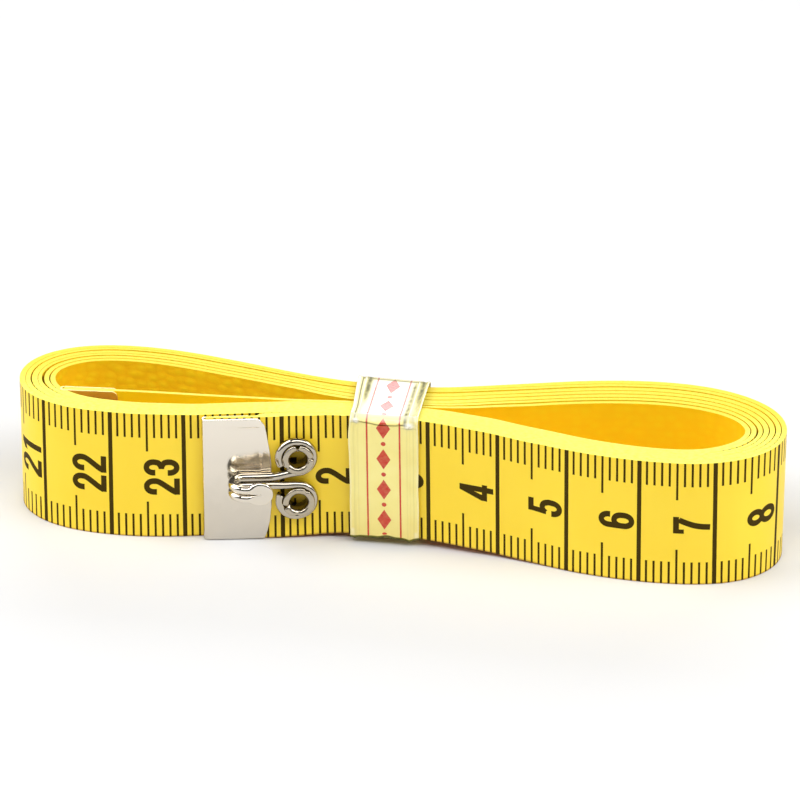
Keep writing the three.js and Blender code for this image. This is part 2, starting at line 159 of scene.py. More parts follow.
# Air between a layer and the next one inside it, by the share of the turn. Six columns: outermost pair first.
AIR_AT = np.array([0, 0.295, 0.325, 0.36, 0.40, 0.45, 0.57, 0.615, 0.64, 0.69, 0.78, 0.83, 0.87, 0.895, 0.915, 1.0])
AIR = np.array(
    [
        [0.012] * 6, [0.012] * 6, [0.03, 0.04, 0.05, 0.05, 0.22, 0.04], [0.12, 0.16, 0.15, 0.15, 0.26, 0.15],
        [0.13, 0.25, 0.16, 0.2, 0.19, 0.25], [0.11, 0.3, 0.17, 0.2, 0.19, 0.32], [0.09, 0.34, 0.17, 0.22, 0.2, 0.4],
        [0.09, 0.3, 0.14, 0.2, 0.17, 0.4], [0.08, 0.30, 0.10, 0.18, 0.14, 0.24], [0.08, 0.32, 0.10, 0.18, 0.14, 0.16],
        [0.07, 0.32, 0.10, 0.25, 0.15, 0.15], [0.06, 0.21, 0.07, 0.33, 0.18, 0.17], [0.06, 0.2, 0.07, 0.36, 0.2, 0.18],
        [0.03, 0.08, 0.03, 0.16, 0.08, 0.06], [0.012] * 6, [0.012] * 6,
    ]
)


# ---- the strip's course ------------------------------------------------------
def plan_at(tau):
    """Outer-face points, outward normals and layer spacing of the coil."""
    tau = np.atleast_1d(np.asarray(tau, float))
    n = len(PLAN)
    t = (tau - np.floor(tau)) * n
    i = np.floor(t).astype(int)
    f = t - i
    w = [(1 - f) ** 3 / 6, (3 * f**3 - 6 * f * f + 4) / 6, (-3 * f**3 + 3 * f * f + 3 * f + 1) / 6, f**3 / 6]
    d = [-((1 - f) ** 2) / 2, (9 * f * f - 12 * f) / 6, (-9 * f * f + 6 * f + 3) / 6, f * f / 2]
    c = [PLAN[(i - 1 + k) % n] for k in range(4)]
    q = sum(w[k][:, None] * c[k] for k in range(4))
    dq = sum(d[k][:, None] * c[k][:, :2] for k in range(4))
    length = np.hypot(dq[:, 0], dq[:, 1])
    nx, ny = dq[:, 1] / length, -dq[:, 0] / length
    depth = q[:, 2] * tau
    return q[:, 0] - nx * depth, q[:, 1] - ny * depth, nx, ny, q[:, 2]


def layer_thickness(tau, spacing):
    """The strip as thick as the spacing leaves it, less the air that shows between layers."""
    share, layer = tau - np.floor(tau), np.clip(np.floor(tau).astype(int), 0, 5)
    columns = np.stack([np.interp(share, AIR_AT, AIR[:, k]) for k in range(6)])
    air = columns[layer, np.arange(len(tau))]
    return spacing - air


def course():
    """The printed face as (s, x, y, nx, ny, thickness), from the zero end to the inner end."""
    t = np.arange(0, 0.2, 0.0005)
    x, y = plan_at(t)[:2]
    run = np.r_[0, np.cumsum(np.hypot(np.diff(x), np.diff(y)))]
    split = float(t[np.searchsorted(run, ZERO_LEN + 0.3)])
    x, y, nx, ny, _ = (float(v[0]) for v in plan_at(split))
    hinge = math.atan2(nx, -ny)
    back = [(x, y)]
    x -= math.cos(hinge) * 0.3
    y -= math.sin(hinge) * 0.3
    back.append((x, y))
    steps, bend = 31, ZERO_LEN - FLAT
    for i in range(steps):
        a = hinge + (FLAP_ANGLE - hinge) * (i + 0.5) / steps
        x -= math.cos(a) * bend / steps
        y -= math.sin(a) * bend / steps
        back.append((x, y))
    for i in range(1, 77):
        back.append((x - math.cos(FLAP_ANGLE) * 0.2 * i, y - math.sin(FLAP_ANGLE) * 0.2 * i))
    flap = back[::-1][:-1]
    tau = np.r_[np.arange(split, TAU_END, 0.0006), TAU_END]
    cx, cy, _, _, spacing = plan_at(tau)
    thick = layer_thickness(tau, spacing)
    knots = [np.array([cx[-1], cy[-1]])] + [np.array(p, float) for p in INNER_PATH]
    knots = [2 * knots[0] - knots[1]] + knots + [2 * knots[-1] - knots[-2]]
    inner = []
    for k in range(1, len(knots) - 2):
        p0, p1, p2, p3 = knots[k - 1 : k + 3]
        d0, d1, d2 = (math.sqrt(np.hypot(*(b - a))) for a, b in ((p0, p1), (p1, p2), (p2, p3)))
        t1 = ((p1 - p0) / d0 - (p2 - p0) / (d0 + d1) + (p2 - p1) / d1) * d1
        t2 = ((p2 - p1) / d1 - (p3 - p1) / (d1 + d2) + (p3 - p2) / d2) * d1
        for u in np.linspace(0, 1, 41)[1:]:
            inner.append(p1 + t1 * u + (-3 * p1 + 3 * p2 - 2 * t1 - t2) * u**2 + (2 * p1 - 2 * p2 + t1 + t2) * u**3)
    xy = np.array([*flap, *zip(cx, cy), *inner])
    s = np.r_[0, np.cumsum(np.hypot(*np.diff(xy, axis=0).T))]
    tan = np.gradient(xy, s, axis=0)
    tan /= np.hypot(tan[:, 0], tan[:, 1])[:, None]
    near = s[len(flap) :][: len(thick)] - s[len(flap)]
    thick = STRIP_T + (thick - STRIP_T) * smooth(0, 3, near)
    last = thick[-1] + (STRIP_T - thick[-1]) * smooth(0, 8, s[-len(inner) :] - s[-len(inner)])
    # Past its metal end the free end is padded out to lie against the coil behind it.
    turn = (tau > 0.9) & (tau < 1.25)
    behind = np.stack([cx[turn], cy[turn]], -1)
    front = np.array(flap)
    way = np.gradient(front, axis=0)
    way /= np.hypot(way[:, 0], way[:, 1])[:, None]
    off = behind[None] - front[:, None]
    across, inward = np.einsum("ijk,ik->ij", off, way), -off[..., 0] * way[:, None, 1] + off[..., 1] * way[:, None, 0]
    room = inward[np.arange(len(front)), np.abs(across).argmin(1)]
    pad = STRIP_T + (np.clip(room - 0.02, STRIP_T, 1.1) - STRIP_T) * smooth(7.15, 8.1, s[: len(flap)])
    thick = np.r_[pad, thick, last]
    return s, xy[:, 0] + OFFSET[0], xy[:, 1] + OFFSET[1], tan[:, 1], -tan[:, 0], thick, float(s[-len(inner) - 1])


S, SX, SY, SNX, SNY, ST, COIL_END = course()
SCALE_S[-1] = S[-1]
SCALE_S = SCALE_S.astype(float)


def along(p):
    """Distance along the strip of a place on the printed scale."""
    return np.interp(p, SCALE_AT, SCALE_S)


def edge_wander(x, y):
    """How far the strip's edges stand above the table: no winding is perfectly level."""
    return 0.05 + 0.022 * np.sin(x / 17.0 + 1.3) + 0.014 * np.sin(x / 6.3 + y / 9.0)


def on_strip(p, z, rear):
    """Points of the printed face, or of the reverse, at scale place p and height z, with the outward normal."""
    s = along(p)
    x, y, nx, ny, thick = (np.interp(s, S, v) for v in (SX, SY, SNX, SNY, ST))
    length = np.hypot(nx, ny)
    nx, ny = nx / length, ny / length
    depth = thick if rear else 0.0
    up = lift(x, y) + edge_wander(x, y) * smooth(12, 30, s)
    hold = 1 - smooth(COIL_END, COIL_END + 14.0, s)
    q = settle(np.stack([x - nx * depth, y - ny * depth, z + up], -1), hold)
    # the same turn of the surface for its normal
    front = hold * (1 - smooth(0.0, 5.0, y))
    ahead, behind = x + 0.2, x - 0.2
    slope = (eased(BOW, ahead) - eased(BOW, behind) + (eased(LEAN, ahead) - eased(LEAN, behind)) * z / TAPE_W) / 0.4
    tx, ty = -ny, nx + ny * (front * slope + PUSH * (tilt(ahead, y) - tilt(behind, y)) / 0.4)
    n = np.stack([ty, -tx, ny * front * eased(LEAN, x) / TAPE_W], -1)
    return q, n / np.linalg.norm(n, axis=-1)[:, None]


# ---- numerals ---------------------------------------------------------------
def arc(cx, cy, rx, ry, a0, a1, n=12):
    return [
        (cx + rx * math.cos(math.radians(a0 + (a1 - a0) * i / n)), cy + ry * math.sin(math.radians(a0 + (a1 - a0) * i / n)))
        for i in range(n + 1)
    ]


def spline(points, n=5):
    """A smooth line through points."""
    p = [np.array(q, float) for q in points]
    p = [2 * p[0] - p[1]] + p + [2 * p[-1] - p[-2]]
    out = []
    for k in range(1, len(p) - 2):
        a, b, c, d = p[k - 1 : k + 3]
        for i in range(n):
            t = i / n
            out.append(tuple(0.5 * (2 * b + (c - a) * t + (2 * a - 5 * b + 4 * c - d) * t * t + (3 * b - a - 3 * c + d) * t**3)))
    return [*out, tuple(p[-2])]


def stroke(line, upright=0.43, level=0.38):
    """Outline of a pen stroke along a line. Upright strokes are a little heavier than level ones."""
    q = np.array(line, float)
    q = q[np.r_[True, np.hypot(*np.diff(q, axis=0).T) > 1e-6]]
    t = np.gradient(q, axis=0)
    t /= np.hypot(t[:, 0], t[:, 1])[:, None]
    half = np.hypot(upright * t[:, 1], level * t[:, 0])[:, None]
    side = np.stack([-t[:, 1], t[:, 0]], -1) * half
    return [tuple(v) for v in np.r_[q - side, (q + side)[::-1]]]


def box(x0, y0, x1, y1):
    return [(x0, y0), (x1, y0), (x1, y1), (x0, y1)]


def glyphs():
    w, h = NUM_W, NUM_H
    l, r, c, rx = 0.43, w - 0.43, w / 2, w / 2 - 0.43
    top, low = h - 0.38, 0.38
    g = {}
    g["0"] = [
        stroke([*arc(c, top - 1.05, rx, 1.05, 78, 180), *arc(c, low + 1.05, rx, 1.05, 180, 282)]),
        stroke([*arc(c, top - 1.05, rx, 1.05, 102, 0), *arc(c, low + 1.05, rx, 1.05, 360, 258)]),
    ]
    g["1"] = [box(0.93, 0, 1.79, h), [(0.24, 3.24), (1.1, 3.7), (1.1, h), (0.93, h), (0.24, 4.04)]]
    g["2"] = [
        stroke(
            [(l, 3.12), *arc(c, top - 0.98, rx, 0.98, 180, 0, 16)]
            + spline([(r, 3.3), (r - 0.06, 2.98), (1.68, 2.42), (1.22, 1.78), (0.8, 1.2), (0.5, 0.72), (0.36, 0.4)], 4)
        ),
        box(0.02, 0, w - 0.02, 0.77),
    ]
    g["3"] = [
        stroke([(l + 0.02, 3.3), *arc(c, top - 0.9, rx - 0.02, 0.9, 180, 0, 16), *spline([(r - 0.04, 3.3), (r - 0.18, 2.85), (1.3, 2.5), (1.0, 2.47)], 4)]),
        stroke([*spline([(1.0, 2.47), (1.35, 2.44), (r - 0.16, 2.1), (r, 1.6)], 4), *arc(c, low + 1.0, rx, 1.0, 0, -180, 16), (l, 1.62)]),
    ]
    g["4"] = [
        box(1.28, 0, 2.12, h),
        box(0.02, 0.9, w - 0.02, 1.66),
        [(0.02, 1.3), (0.78, 1.3), (1.66, h - 1.0), (1.66, h), (1.24, h), (0.02, 1.72)],
    ]
    g["5"] = [
        box(0.36, 4.1, w - 0.16, h),
        [(0.18, 2.3), (0.96, 2.3), (1.12, 4.3), (0.36, 4.3)],
        stroke([*spline([(0.5, 2.36), (0.8, 2.72), (1.3, 2.86), (1.78, 2.62), (r, 2.0), (r, 1.5)], 5), *arc(c, low + 0.98, rx, 0.98, 0, -180, 16), (l, 1.55)]),
    ]
    g["6"] = [
        stroke([(r - 0.02, 3.28), *arc(c, top - 1.0, rx - 0.02, 1.0, 0, 180, 16), (l, 2.4), *arc(c, low + 1.0, rx, 1.0, 180, 282, 10)]),
        stroke([*arc(c, low + 1.0, rx, 1.0, 258, 360, 10), *arc(c, 1.78, rx, 0.98, 0, 180, 16)]),
    ]
    g["7"] = [
        box(0.0, 4.1, w + 0.04, h),
        box(0.0, 3.45, 0.64, 4.2),
        stroke(spline([(2.06, 4.12), (1.66, 3.2), (1.28, 2.1), (1.08, 1.05), (1.0, 0)], 5), 0.435, 0.36),
    ]
    g["8"] = [
        stroke(arc(c, top - 0.96, rx, 0.96, 76, 284, 18)),
        stroke(arc(c, top - 0.96, rx, 0.96, 104, -104, 18)),
        stroke(arc(c, low + 1.08, rx + 0.07, 1.08, 284, 76, 18)),
        stroke(arc(c, low + 1.08, rx + 0.07, 1.08, -104, 104, 18)),
    ]
    g["9"] = [[(w - x, h - y) for x, y in poly] for poly in g["6"]]
    return g


def turned_left(poly):
    """The outline counterclockwise."""
    area = sum(a[0] * b[1] - b[0] * a[1] for a, b in zip(poly, poly[1:] + poly[:1]))
    return poly if area > 0 else poly[::-1]


def merged(polys):
    """Overlapping strokes as clean loops: [(is a counter, outline)]."""
    coords, faces = [], []
    for q in polys:
        faces.append(list(range(len(coords), len(coords) + len(q))))
        coords += turned_left(q)
    v, _, f, _, _, ids = delaunay_2d_cdt([Vector(c) for c in coords], [], faces, 1, 1e-5, True)
    half = {(a, b) for tri, own in zip(f, ids) if own for a, b in zip(tri, tri[1:] + tri[:1])}
    follow = {a: b for a, b in half if (b, a) not in half}
    loops = []
    while follow:
        a = start = min(follow)
        loop = []
        while a in follow:
            loop.append((v[a].x, v[a].y))
            a = follow.pop(a)
        kept = []
        for q in loop:
            if not kept or math.dist(q, kept[-1]) > 0.02:
                kept.append(q)
        if len(kept) > 2:
            counter = sum(a[0] * b[1] - b[0] * a[1] for a, b in zip(kept, kept[1:] + kept[:1])) < 0
            loops.append((counter, turned_left(kept)))
    return loops


GLYPHS = {digit: merged(polys) for digit, polys in glyphs().items()}


def ink_near(k, p0, p1):
    """Print between p0 and p1, where k is the centimetre line at the right: [(is a counter, outline)]."""
    out = []
    for j in range(1, 10):
        p = 10 * k - 10 + j
        if p0 < p - TICK_W / 2 and p + TICK_W / 2 < p1:
            top, low = (HALF_TOP, HALF_LOW) if j == 5 else (TICK_TOP, TICK_LOW)
            out.append((False, box(p - TICK_W / 2, 0, p + TICK_W / 2, low)))
            out.append((False, box(p - TICK_W / 2, TAPE_W - top, p + TICK_W / 2, TAPE_W)))
    if 0 < k < 150 and p0 < 10 * k - LINE_W / 2 and 10 * k + LINE_W / 2 < p1:
        out.append((False, box(10 * k - LINE_W / 2, 0, 10 * k + LINE_W / 2, TAPE_W)))
        text = str(k)
        length = len(text) * NUM_W + (len(text) - 1) * NUM_GAP
        for i, digit in enumerate(text):
            z0 = MID - NUM_DOWN - length / 2 + i * (NUM_W + NUM_GAP)
            for counter, poly in GLYPHS[digit]:
                out.append((counter, turned_left([(10 * k - NUM_FOOT - y, z0 + x) for x, y in poly])))
    return out


# ---- meshes -----------------------------------------------------------------
def new_object(name, points, faces, materials, index=None, flat=False):
    me = bpy.data.meshes.new(name)
    me.from_pydata([tuple(float(c) * MM for c in q) for q in points], [], faces)
    for m in materials:
        me.materials.append(m)
    if index is not None:
        me.polygons.foreach_set("material_index", np.asarray(index, np.int32))
    me.polygons.foreach_set("use_smooth", np.full(len(me.polygons), not flat))
    me.update()
    ob = bpy.data.objects.new(name, me)
    bpy.context.scene.collection.objects.link(ob)
    return ob


FACE, INK, BACK, EDGE = range(4)


def ribbon(name, p0, p1, materials, holes=()):
    """A closed stretch of the strip from p0 to p1 on its scale, with its print, and round holes (p, z, radius)."""
    cuts = [p0] + [10 * k + 0.5 for k in range(-1, 151) if p0 + 0.05 < 10 * k + 0.5 < p1 - 0.05] + [p1]
    keys, outer_faces, outer_mat = {}, [], []
    inner_faces, used_inner = [], set()

    def key(q):
        return keys.setdefault((round(q[0], 3), round(q[1], 3)), len(keys))

    def triangles(a, b, stations, polys, rims, extra):
        """Triangles of the cell from a to b: (three vertex keys, inside ink, inside a hole)."""
        coords, edges, faces = [(a, 0.0), (b, 0.0), (b, TAPE_W), (a, TAPE_W)], [], [[0, 1, 2, 3]]
        for p in stations:
            edges.append((len(coords), len(coords) + 1))
            coords += [(p, 0.0), (p, TAPE_W)]
        for p in extra:
            coords += [(p, 0.0), (p, TAPE_W)]
        kind = ["cell"] + ["counter" if counter else "ink" for counter, _ in polys] + ["hole"] * len(rims)
        for poly in [q for _, q in polys] + rims:
            faces.append(list(range(len(coords), len(coords) + len(poly))))
            coords += poly
        v, _, f, _, _, ids = delaunay_2d_cdt([Vector(c) for c in coords], edges, faces, 1, 1e-5, True)
        for tri, owners in zip(f, ids):
            inside = {kind[o] for o in owners}
            if "cell" in inside:
                yield tuple(key(v[i]) for i in tri), "ink" in inside and "counter" not in inside, "hole" in inside

    for a, b in zip(cuts, cuts[1:]):
        k = math.floor((b - 0.5) / 10 + 1e-6) if b - a > 9.9 or abs((b - 0.5) % 10) < 1e-6 else math.floor((b - 0.5) / 10) + 1
        count = max(1, round((b - a) / 1.25))
        stations = [a + (b - a) * i / count for i in range(1, count)]
        polys = ink_near(k, a, b)
        rims = [
            [(hp + r * math.cos(2 * math.pi * i / 48), hz + r * math.sin(2 * math.pi * i / 48)) for i in range(48)]
            for hp, hz, r in holes
            if a < hp < b
        ]
        marks = sorted({round(x, 3) for _, q in polys for x, z in q if z in (0, TAPE_W)})
        for tri, ink, hole in triangles(a, b, stations, polys, rims, []):
            if not hole:
                outer_faces.append(tri)
                outer_mat.append(INK if ink else FACE)
        if rims:
            for tri, _, hole in triangles(a, b, stations, [], rims, marks):
                if not hole:
                    inner_faces.append(tri[::-1])
        else:
            places = sorted({round(x, 3) for x in (a, b, *stations, *marks)})
            for x0, x1 in zip(places, places[1:]):
                inner_faces.append((key((x0, 0.0)), key((x0, TAPE_W)), key((x1, TAPE_W)), key((x1, 0.0))))

    flat = np.array(list(keys))
    n = len(flat)
    front, normal = on_strip(flat[:, 0], flat[:, 1], False)
    rear, _ = on_strip(flat[:, 0], flat[:, 1], True)
    half = {(a, b) for f in outer_faces for a, b in zip(f, f[1:] + f[:1])}
    rim = [(a, b) for a, b in half if (b, a) not in half]
    rim.sort()
    walls = [(b, a, a + n, b + n) for a, b in rim]
    faces = outer_faces + [tuple(v + n for v in f) for f in inner_faces] + walls
    index = outer_mat + [BACK] * len(inner_faces) + [EDGE] * len(walls)
    points = np.r_[front, rear]
    used = np.unique(np.concatenate([np.array(f) for f in faces]))
    number = np.full(2 * n, -1)
    number[used] = np.arange(len(used))
    faces = [tuple(int(number[v]) for v in f) for f in faces]
    ob = new_object(name, points[used], faces, materials, index)
    me = ob.data
    # True normals of the curved faces, and flat ones on the cut edges.
    both = np.r_[normal, -normal][used]
    loops = np.empty(len(me.loops), np.int32)
    me.loops.foreach_get("vertex_index", loops)
    count = np.array([len(f) for f in faces])
    owner = np.repeat(np.arange(len(faces)), count)
    normals = both[loops]
    on_wall = np.array(index)[owner] == EDGE
    face_normals = np.empty(len(me.polygons) * 3, np.float32)
    me.polygons.foreach_get("normal", face_normals)
    normals[on_wall] = face_normals.reshape(-1, 3)[owner[on_wall]]
    me.normals_split_custom_set([tuple(v) for v in normals])
    # Unrolled coordinates, in centimetres, for the weave.
    across = np.r_[flat, flat][used]
    across = np.stack([along(across[:, 0]), across[:, 1]], -1) * 0.1
    uv = across[loops]
    deep = (used >= n)[loops] & on_wall
    uv[deep, 1] += 0.05
    layer = me.uv_layers.new(name="strip")
    layer.data.foreach_set("uv", uv.astype(np.float32).ravel())
    return ob


def grid_shell(outer, inner, closed_u=False):
    """Points and faces of a closed shell between two grids of points [u][v]. closed_u joins the last row to the first."""
    nu, nv = outer.shape[:2]
    points = np.r_[outer.reshape(-1, 3), inner.reshape(-1, 3)]
    n = nu * nv
    faces = []
    at = lambda i, j: (i % nu) * nv + j
    rows = nu if closed_u else nu - 1
    for i in range(rows):
        for j in range(nv - 1):
            a, b, c, d = at(i, j), at(i + 1, j), at(i + 1, j + 1), at(i, j + 1)
            faces.append((a, b, c, d))
            faces.append((d + n, c + n, b + n, a + n))
        faces.append((at(i + 1, 0), at(i, 0), at(i, 0) + n, at(i + 1, 0) + n))
        faces.append((at(i, nv - 1), at(i + 1, nv - 1), at(i + 1, nv - 1) + n, at(i, nv - 1) + n))
    if not closed_u:
        for j in range(nv - 1):
            faces.append((at(0, j), at(0, j + 1), at(0, j + 1) + n, at(0, j) + n))
            faces.append((at(nu - 1, j + 1), at(nu - 1, j), at(nu - 1, j) + n, at(nu - 1, j + 1) + n))
    return points, faces


FLAP_AT = np.array([SX[0], SY[0]])


def to_flap(q):
    """From the free end's own frame (x along the strip from its end, y into the coil, z up) to the object."""
    q = np.asarray(q, float)
    c, s = math.cos(FLAP_ANGLE), math.sin(FLAP_ANGLE)
    x = FLAP_AT[0] + c * q[..., 0] - s * q[..., 1]
    y = FLAP_AT[1] + s * q[..., 0] + c * q[..., 1]
    return settle(np.stack([x, y, q[..., 2] + lift(FLAP_AT[0] + c * q[..., 0])], -1))


INNER_DIR = math.atan2(SY[-40] - SY[-1], SX[-40] - SX[-1])


def to_inner(q):
    """From the inner end's own frame (x from its end back along the strip, y from the reverse to the print) to the object."""
    q = np.asarray(q, float)
    c, s = math.cos(INNER_DIR), math.sin(INNER_DIR)
    x = SX[-1] + c * q[..., 0] - s * q[..., 1]
    y = SY[-1] + s * q[..., 0] + c * q[..., 1]
    return np.stack([x, y, q[..., 2]], -1)


def outline_at(pairs, z):
    """Smooth length of a leaf at the share z of its height."""
    zs, xs = zip(*pairs)
    return np.interp(z, zs, xs)


def folded_tip(name, reach_front, reach_back, fold, y0, y1, sheet, z0, z1, press, place, material):
    """Metal sheet folded round a strip's end: leaves on both faces at y0 and y1 (their outsides), joined by a half-round fold."""
    nz, nx, na = 72, 46, 15
    share = (1 - np.cos(np.linspace(0, math.pi, nz))) / 2
    share = 0.5 * share + 0.5 * np.linspace(0, 1, nz)
    h = sheet / 2
    ya, yb = y0 + h, y1 - h
    radius, cy = (yb - ya) / 2, (ya + yb) / 2
    outer, inner = [], []
    for k in share:
        z = z0 + (z1 - z0) * k
        row_o, row_i = [], []
        lf, lb = float(outline_at(reach_front, k)), float(outline_at(reach_back, k))
        u = np.linspace(0, 1, nx) ** 0.9
        for t in u[::-1]:
            x = fold + (lf - fold) * t
            d = press(x, z)
            row_o.append((x, ya - h + d, z))
            row_i.append((x, ya + h + d, z))
        for i in range(1, na):
            a = math.pi * i / na
            n = (-math.sin(a), -math.cos(a))
            row_o.append((fold + (radius + h) * n[0], cy + (radius + h) * n[1], z))
            row_i.append((fold + (radius - h) * n[0], cy + (radius - h) * n[1], z))
        for t in u:
            x = fold + (lb - fold) * t
            row_o.append((x, yb + h, z))
            row_i.append((x, yb - h, z))
        outer.append(row_o)
        inner.append(row_i)
    points, faces = grid_shell(np.array(outer), np.array(inner))
    ob = new_object(name, place(points), faces, [material])
    fix_normals(ob)
    bevel(ob, 0.07, 2)
    return ob


def fix_normals(ob):
    import bmesh

    bm = bmesh.new()
    bm.from_mesh(ob.data)
    bmesh.ops.remove_doubles(bm, verts=bm.verts, dist=1e-8)
    bmesh.ops.recalc_face_normals(bm, faces=bm.faces)
    bm.to_mesh(ob.data)
    bm.free()


def bevel(ob, width, segments, angle=50):
    m = ob.modifiers.new("edge", "BEVEL")
    m.width, m.segments, m.limit_method, m.angle_limit = width * MM, segments, "ANGLE", math.radians(angle)
    m.harden_normals = False
    m.use_clamp_overlap = True
    ob.data.set_sharp_from_angle(angle=math.radians(angle))


def lathe(name, profile, segments, place, material, shape=None):
    """A closed ring of revolution: profile is (radius, height) in order round the section."""
    points, faces = [], []
    m = len(profile)
    for i in range(segments):
        a = 2 * math.pi * i / segments
        for j, (r, hgt) in enumerate(profile):
            if shape:
                r, hgt = shape(a, r, hgt)
            points.append((r * math.cos(a), r * math.sin(a), hgt))
    for i in range(segments):
        for j in range(m):
            faces.append((i * m + j, ((i + 1) % segments) * m + j, ((i + 1) % segments) * m + (j + 1) % m, i * m + (j + 1) % m))
    ob = new_object(name, place(np.array(points)), faces, [material])
    fix_normals(ob)
    return ob


# ---- materials ---------------------------------------------------------------
class Maker:
    """A material and short ways to build its nodes."""

    def __init__(self, name, **sockets):
        self.m = bpy.data.materials.new(name)
        self.m.use_nodes = True
        self.t = self.m.node_tree
        self.b = self.t.nodes["Principled BSDF"]
        for k, v in sockets.items():
            self.b.inputs[k.replace("_", " ")].default_value = v

    def node(self, kind, inputs=None, **props):
        n = self.t.nodes.new(kind)
        for k, v in props.items():
            setattr(n, k, v)
        for k, v in (inputs or {}).items():
            if isinstance(v, bpy.types.NodeSocket):
                self.t.links.new(v, n.inputs[k])
            else:
                n.inputs[k].default_value = v
        return n

    def uv(self, scale=(1, 1, 1), turn=0.0, name="strip"):
        n = self.node("ShaderNodeUVMap", uv_map=name)
        return self.node("ShaderNodeMapping", {"Vector": n.outputs["UV"], "Scale": scale, "Rotation": (0, 0, turn)}).outputs["Vector"]

    def object(self, scale=1.0):
        n = self.node("ShaderNodeTexCoord")
        return self.node("ShaderNodeMapping", {"Vector": n.outputs["Object"], "Scale": (scale, scale, scale)}).outputs["Vector"]

    def noise(self, vector, scale, detail=2.0, rough=0.5):
        return self.node("ShaderNodeTexNoise", {"Vector": vector, "Scale": scale, "Detail": detail, "Roughness": rough}).outputs["Fac"]

    def ramp(self, fac, *stops):
        n = self.node("ShaderNodeValToRGB", {"Fac": fac})
        e = n.color_ramp.elements
        while len(e) < len(stops):
            e.new(0.5)
        for el, (at, colour) in zip(e, stops):
            el.position, el.color = at, (*colour, 1)
        return n.outputs["Color"]

    def range(self, value, a, b, lo=0.0, hi=1.0):
        return self.node("ShaderNodeMapRange", {"Value": value, "From Min": lo, "From Max": hi, "To Min": a, "To Max": b}).outputs["Result"]

    def math(self, op, a, b):
        n = self.t.nodes.new("ShaderNodeMath")
        n.operation = op
        for i, v in enumerate((a, b)):
            if isinstance(v, bpy.types.NodeSocket):
                self.t.links.new(v, n.inputs[i])
            else:
                n.inputs[i].default_value = v
        return n.outputs[0]

    def wave(self, vector, scale, distortion=0.0):
        return self.node(
            "ShaderNodeTexWave",
            {"Vector": vector, "Scale": scale, "Distortion": distortion, "Detail": 1.0},
            wave_type="BANDS", bands_direction="X", wave_profile="SIN",
        ).outputs["Fac"]

    def mix(self, fac, a, b):
        n = self.t.nodes.new("ShaderNodeMix")
        n.data_type = "RGBA"
        for i, v in ((0, fac), (6, a), (7, b)):
            if isinstance(v, bpy.types.NodeSocket):
                self.t.links.new(v, n.inputs[i])
            else:
                n.inputs[i].default_value = (*v, 1) if i else v
        return n.outputs[2]

    def place(self, axis):
        """Object coordinate in millimetres."""
        n = self.node("ShaderNodeSeparateXYZ", {"Vector": self.object(1000.0)})
        return n.outputs[axis]

    def attribute(self, name):
        return self.node("ShaderNodeAttribute", attribute_name=name).outputs["Fac"]

    def bump(self, height, strength, distance):
        n = self.node("ShaderNodeBump", {"Height": height, "Strength": strength, "Distance": distance})
        self.t.links.new(n.outputs["Normal"], self.b.inputs["Normal"])

    def set(self, socket, value):
        self.t.links.new(value, self.b.inputs[socket])


def shade(r, g, b):
    """Linear colour of an sRGB one."""
    return tuple((v / 255 / 12.92) if v <= 10 else ((v / 255 + 0.055) / 1.055) ** 2.4 for v in (r, g, b))


def face_material():
    m = Maker("strip_face", Specular_IOR_Level=0.5)
    big = m.noise(m.uv((1, 1, 1)), 0.7, 3.0)
    plain = m.ramp(big, (0.3, shade(250, 213, 43)), (0.7, shade(253, 219, 51)))
    # painted shade: darker along its lower edge, a thin contact line where it meets the table
    high = m.node("ShaderNodeSeparateXYZ", {"Vector": m.uv((1, 1, 1))}).outputs["Y"]
    m.set("Base Color", m.mix(m.range(high, 0.75, 0.0, 0.004, 0.03), plain, shade(150, 92, 30)))
    weave = m.math("MULTIPLY", m.wave(m.uv(), 6.4), m.wave(m.uv(turn=math.pi / 2), 6.4))
    fine = m.noise(m.uv(), 90.0, 2.0)
    m.set("Roughness", m.range(m.noise(m.uv(), 4.0, 4.0), 0.36, 0.48))
    m.bump(m.math("ADD", weave, m.math("MULTIPLY", fine, 0.5)), 0.10, 0.00004)
    return m.m


def ink_material():
    m = Maker("strip_ink", Specular_IOR_Level=0.06)
    m.b.inputs["Base Color"].default_value = (*shade(64, 50, 10), 1)
    fleck = m.noise(m.uv(), 26.0, 4.0, 0.6)
    m.set("Roughness", m.range(fleck, 0.4, 0.6))
    m.bump(m.noise(m.uv(), 70.0, 2.0), 0.12, 0.00004)
    return m.m


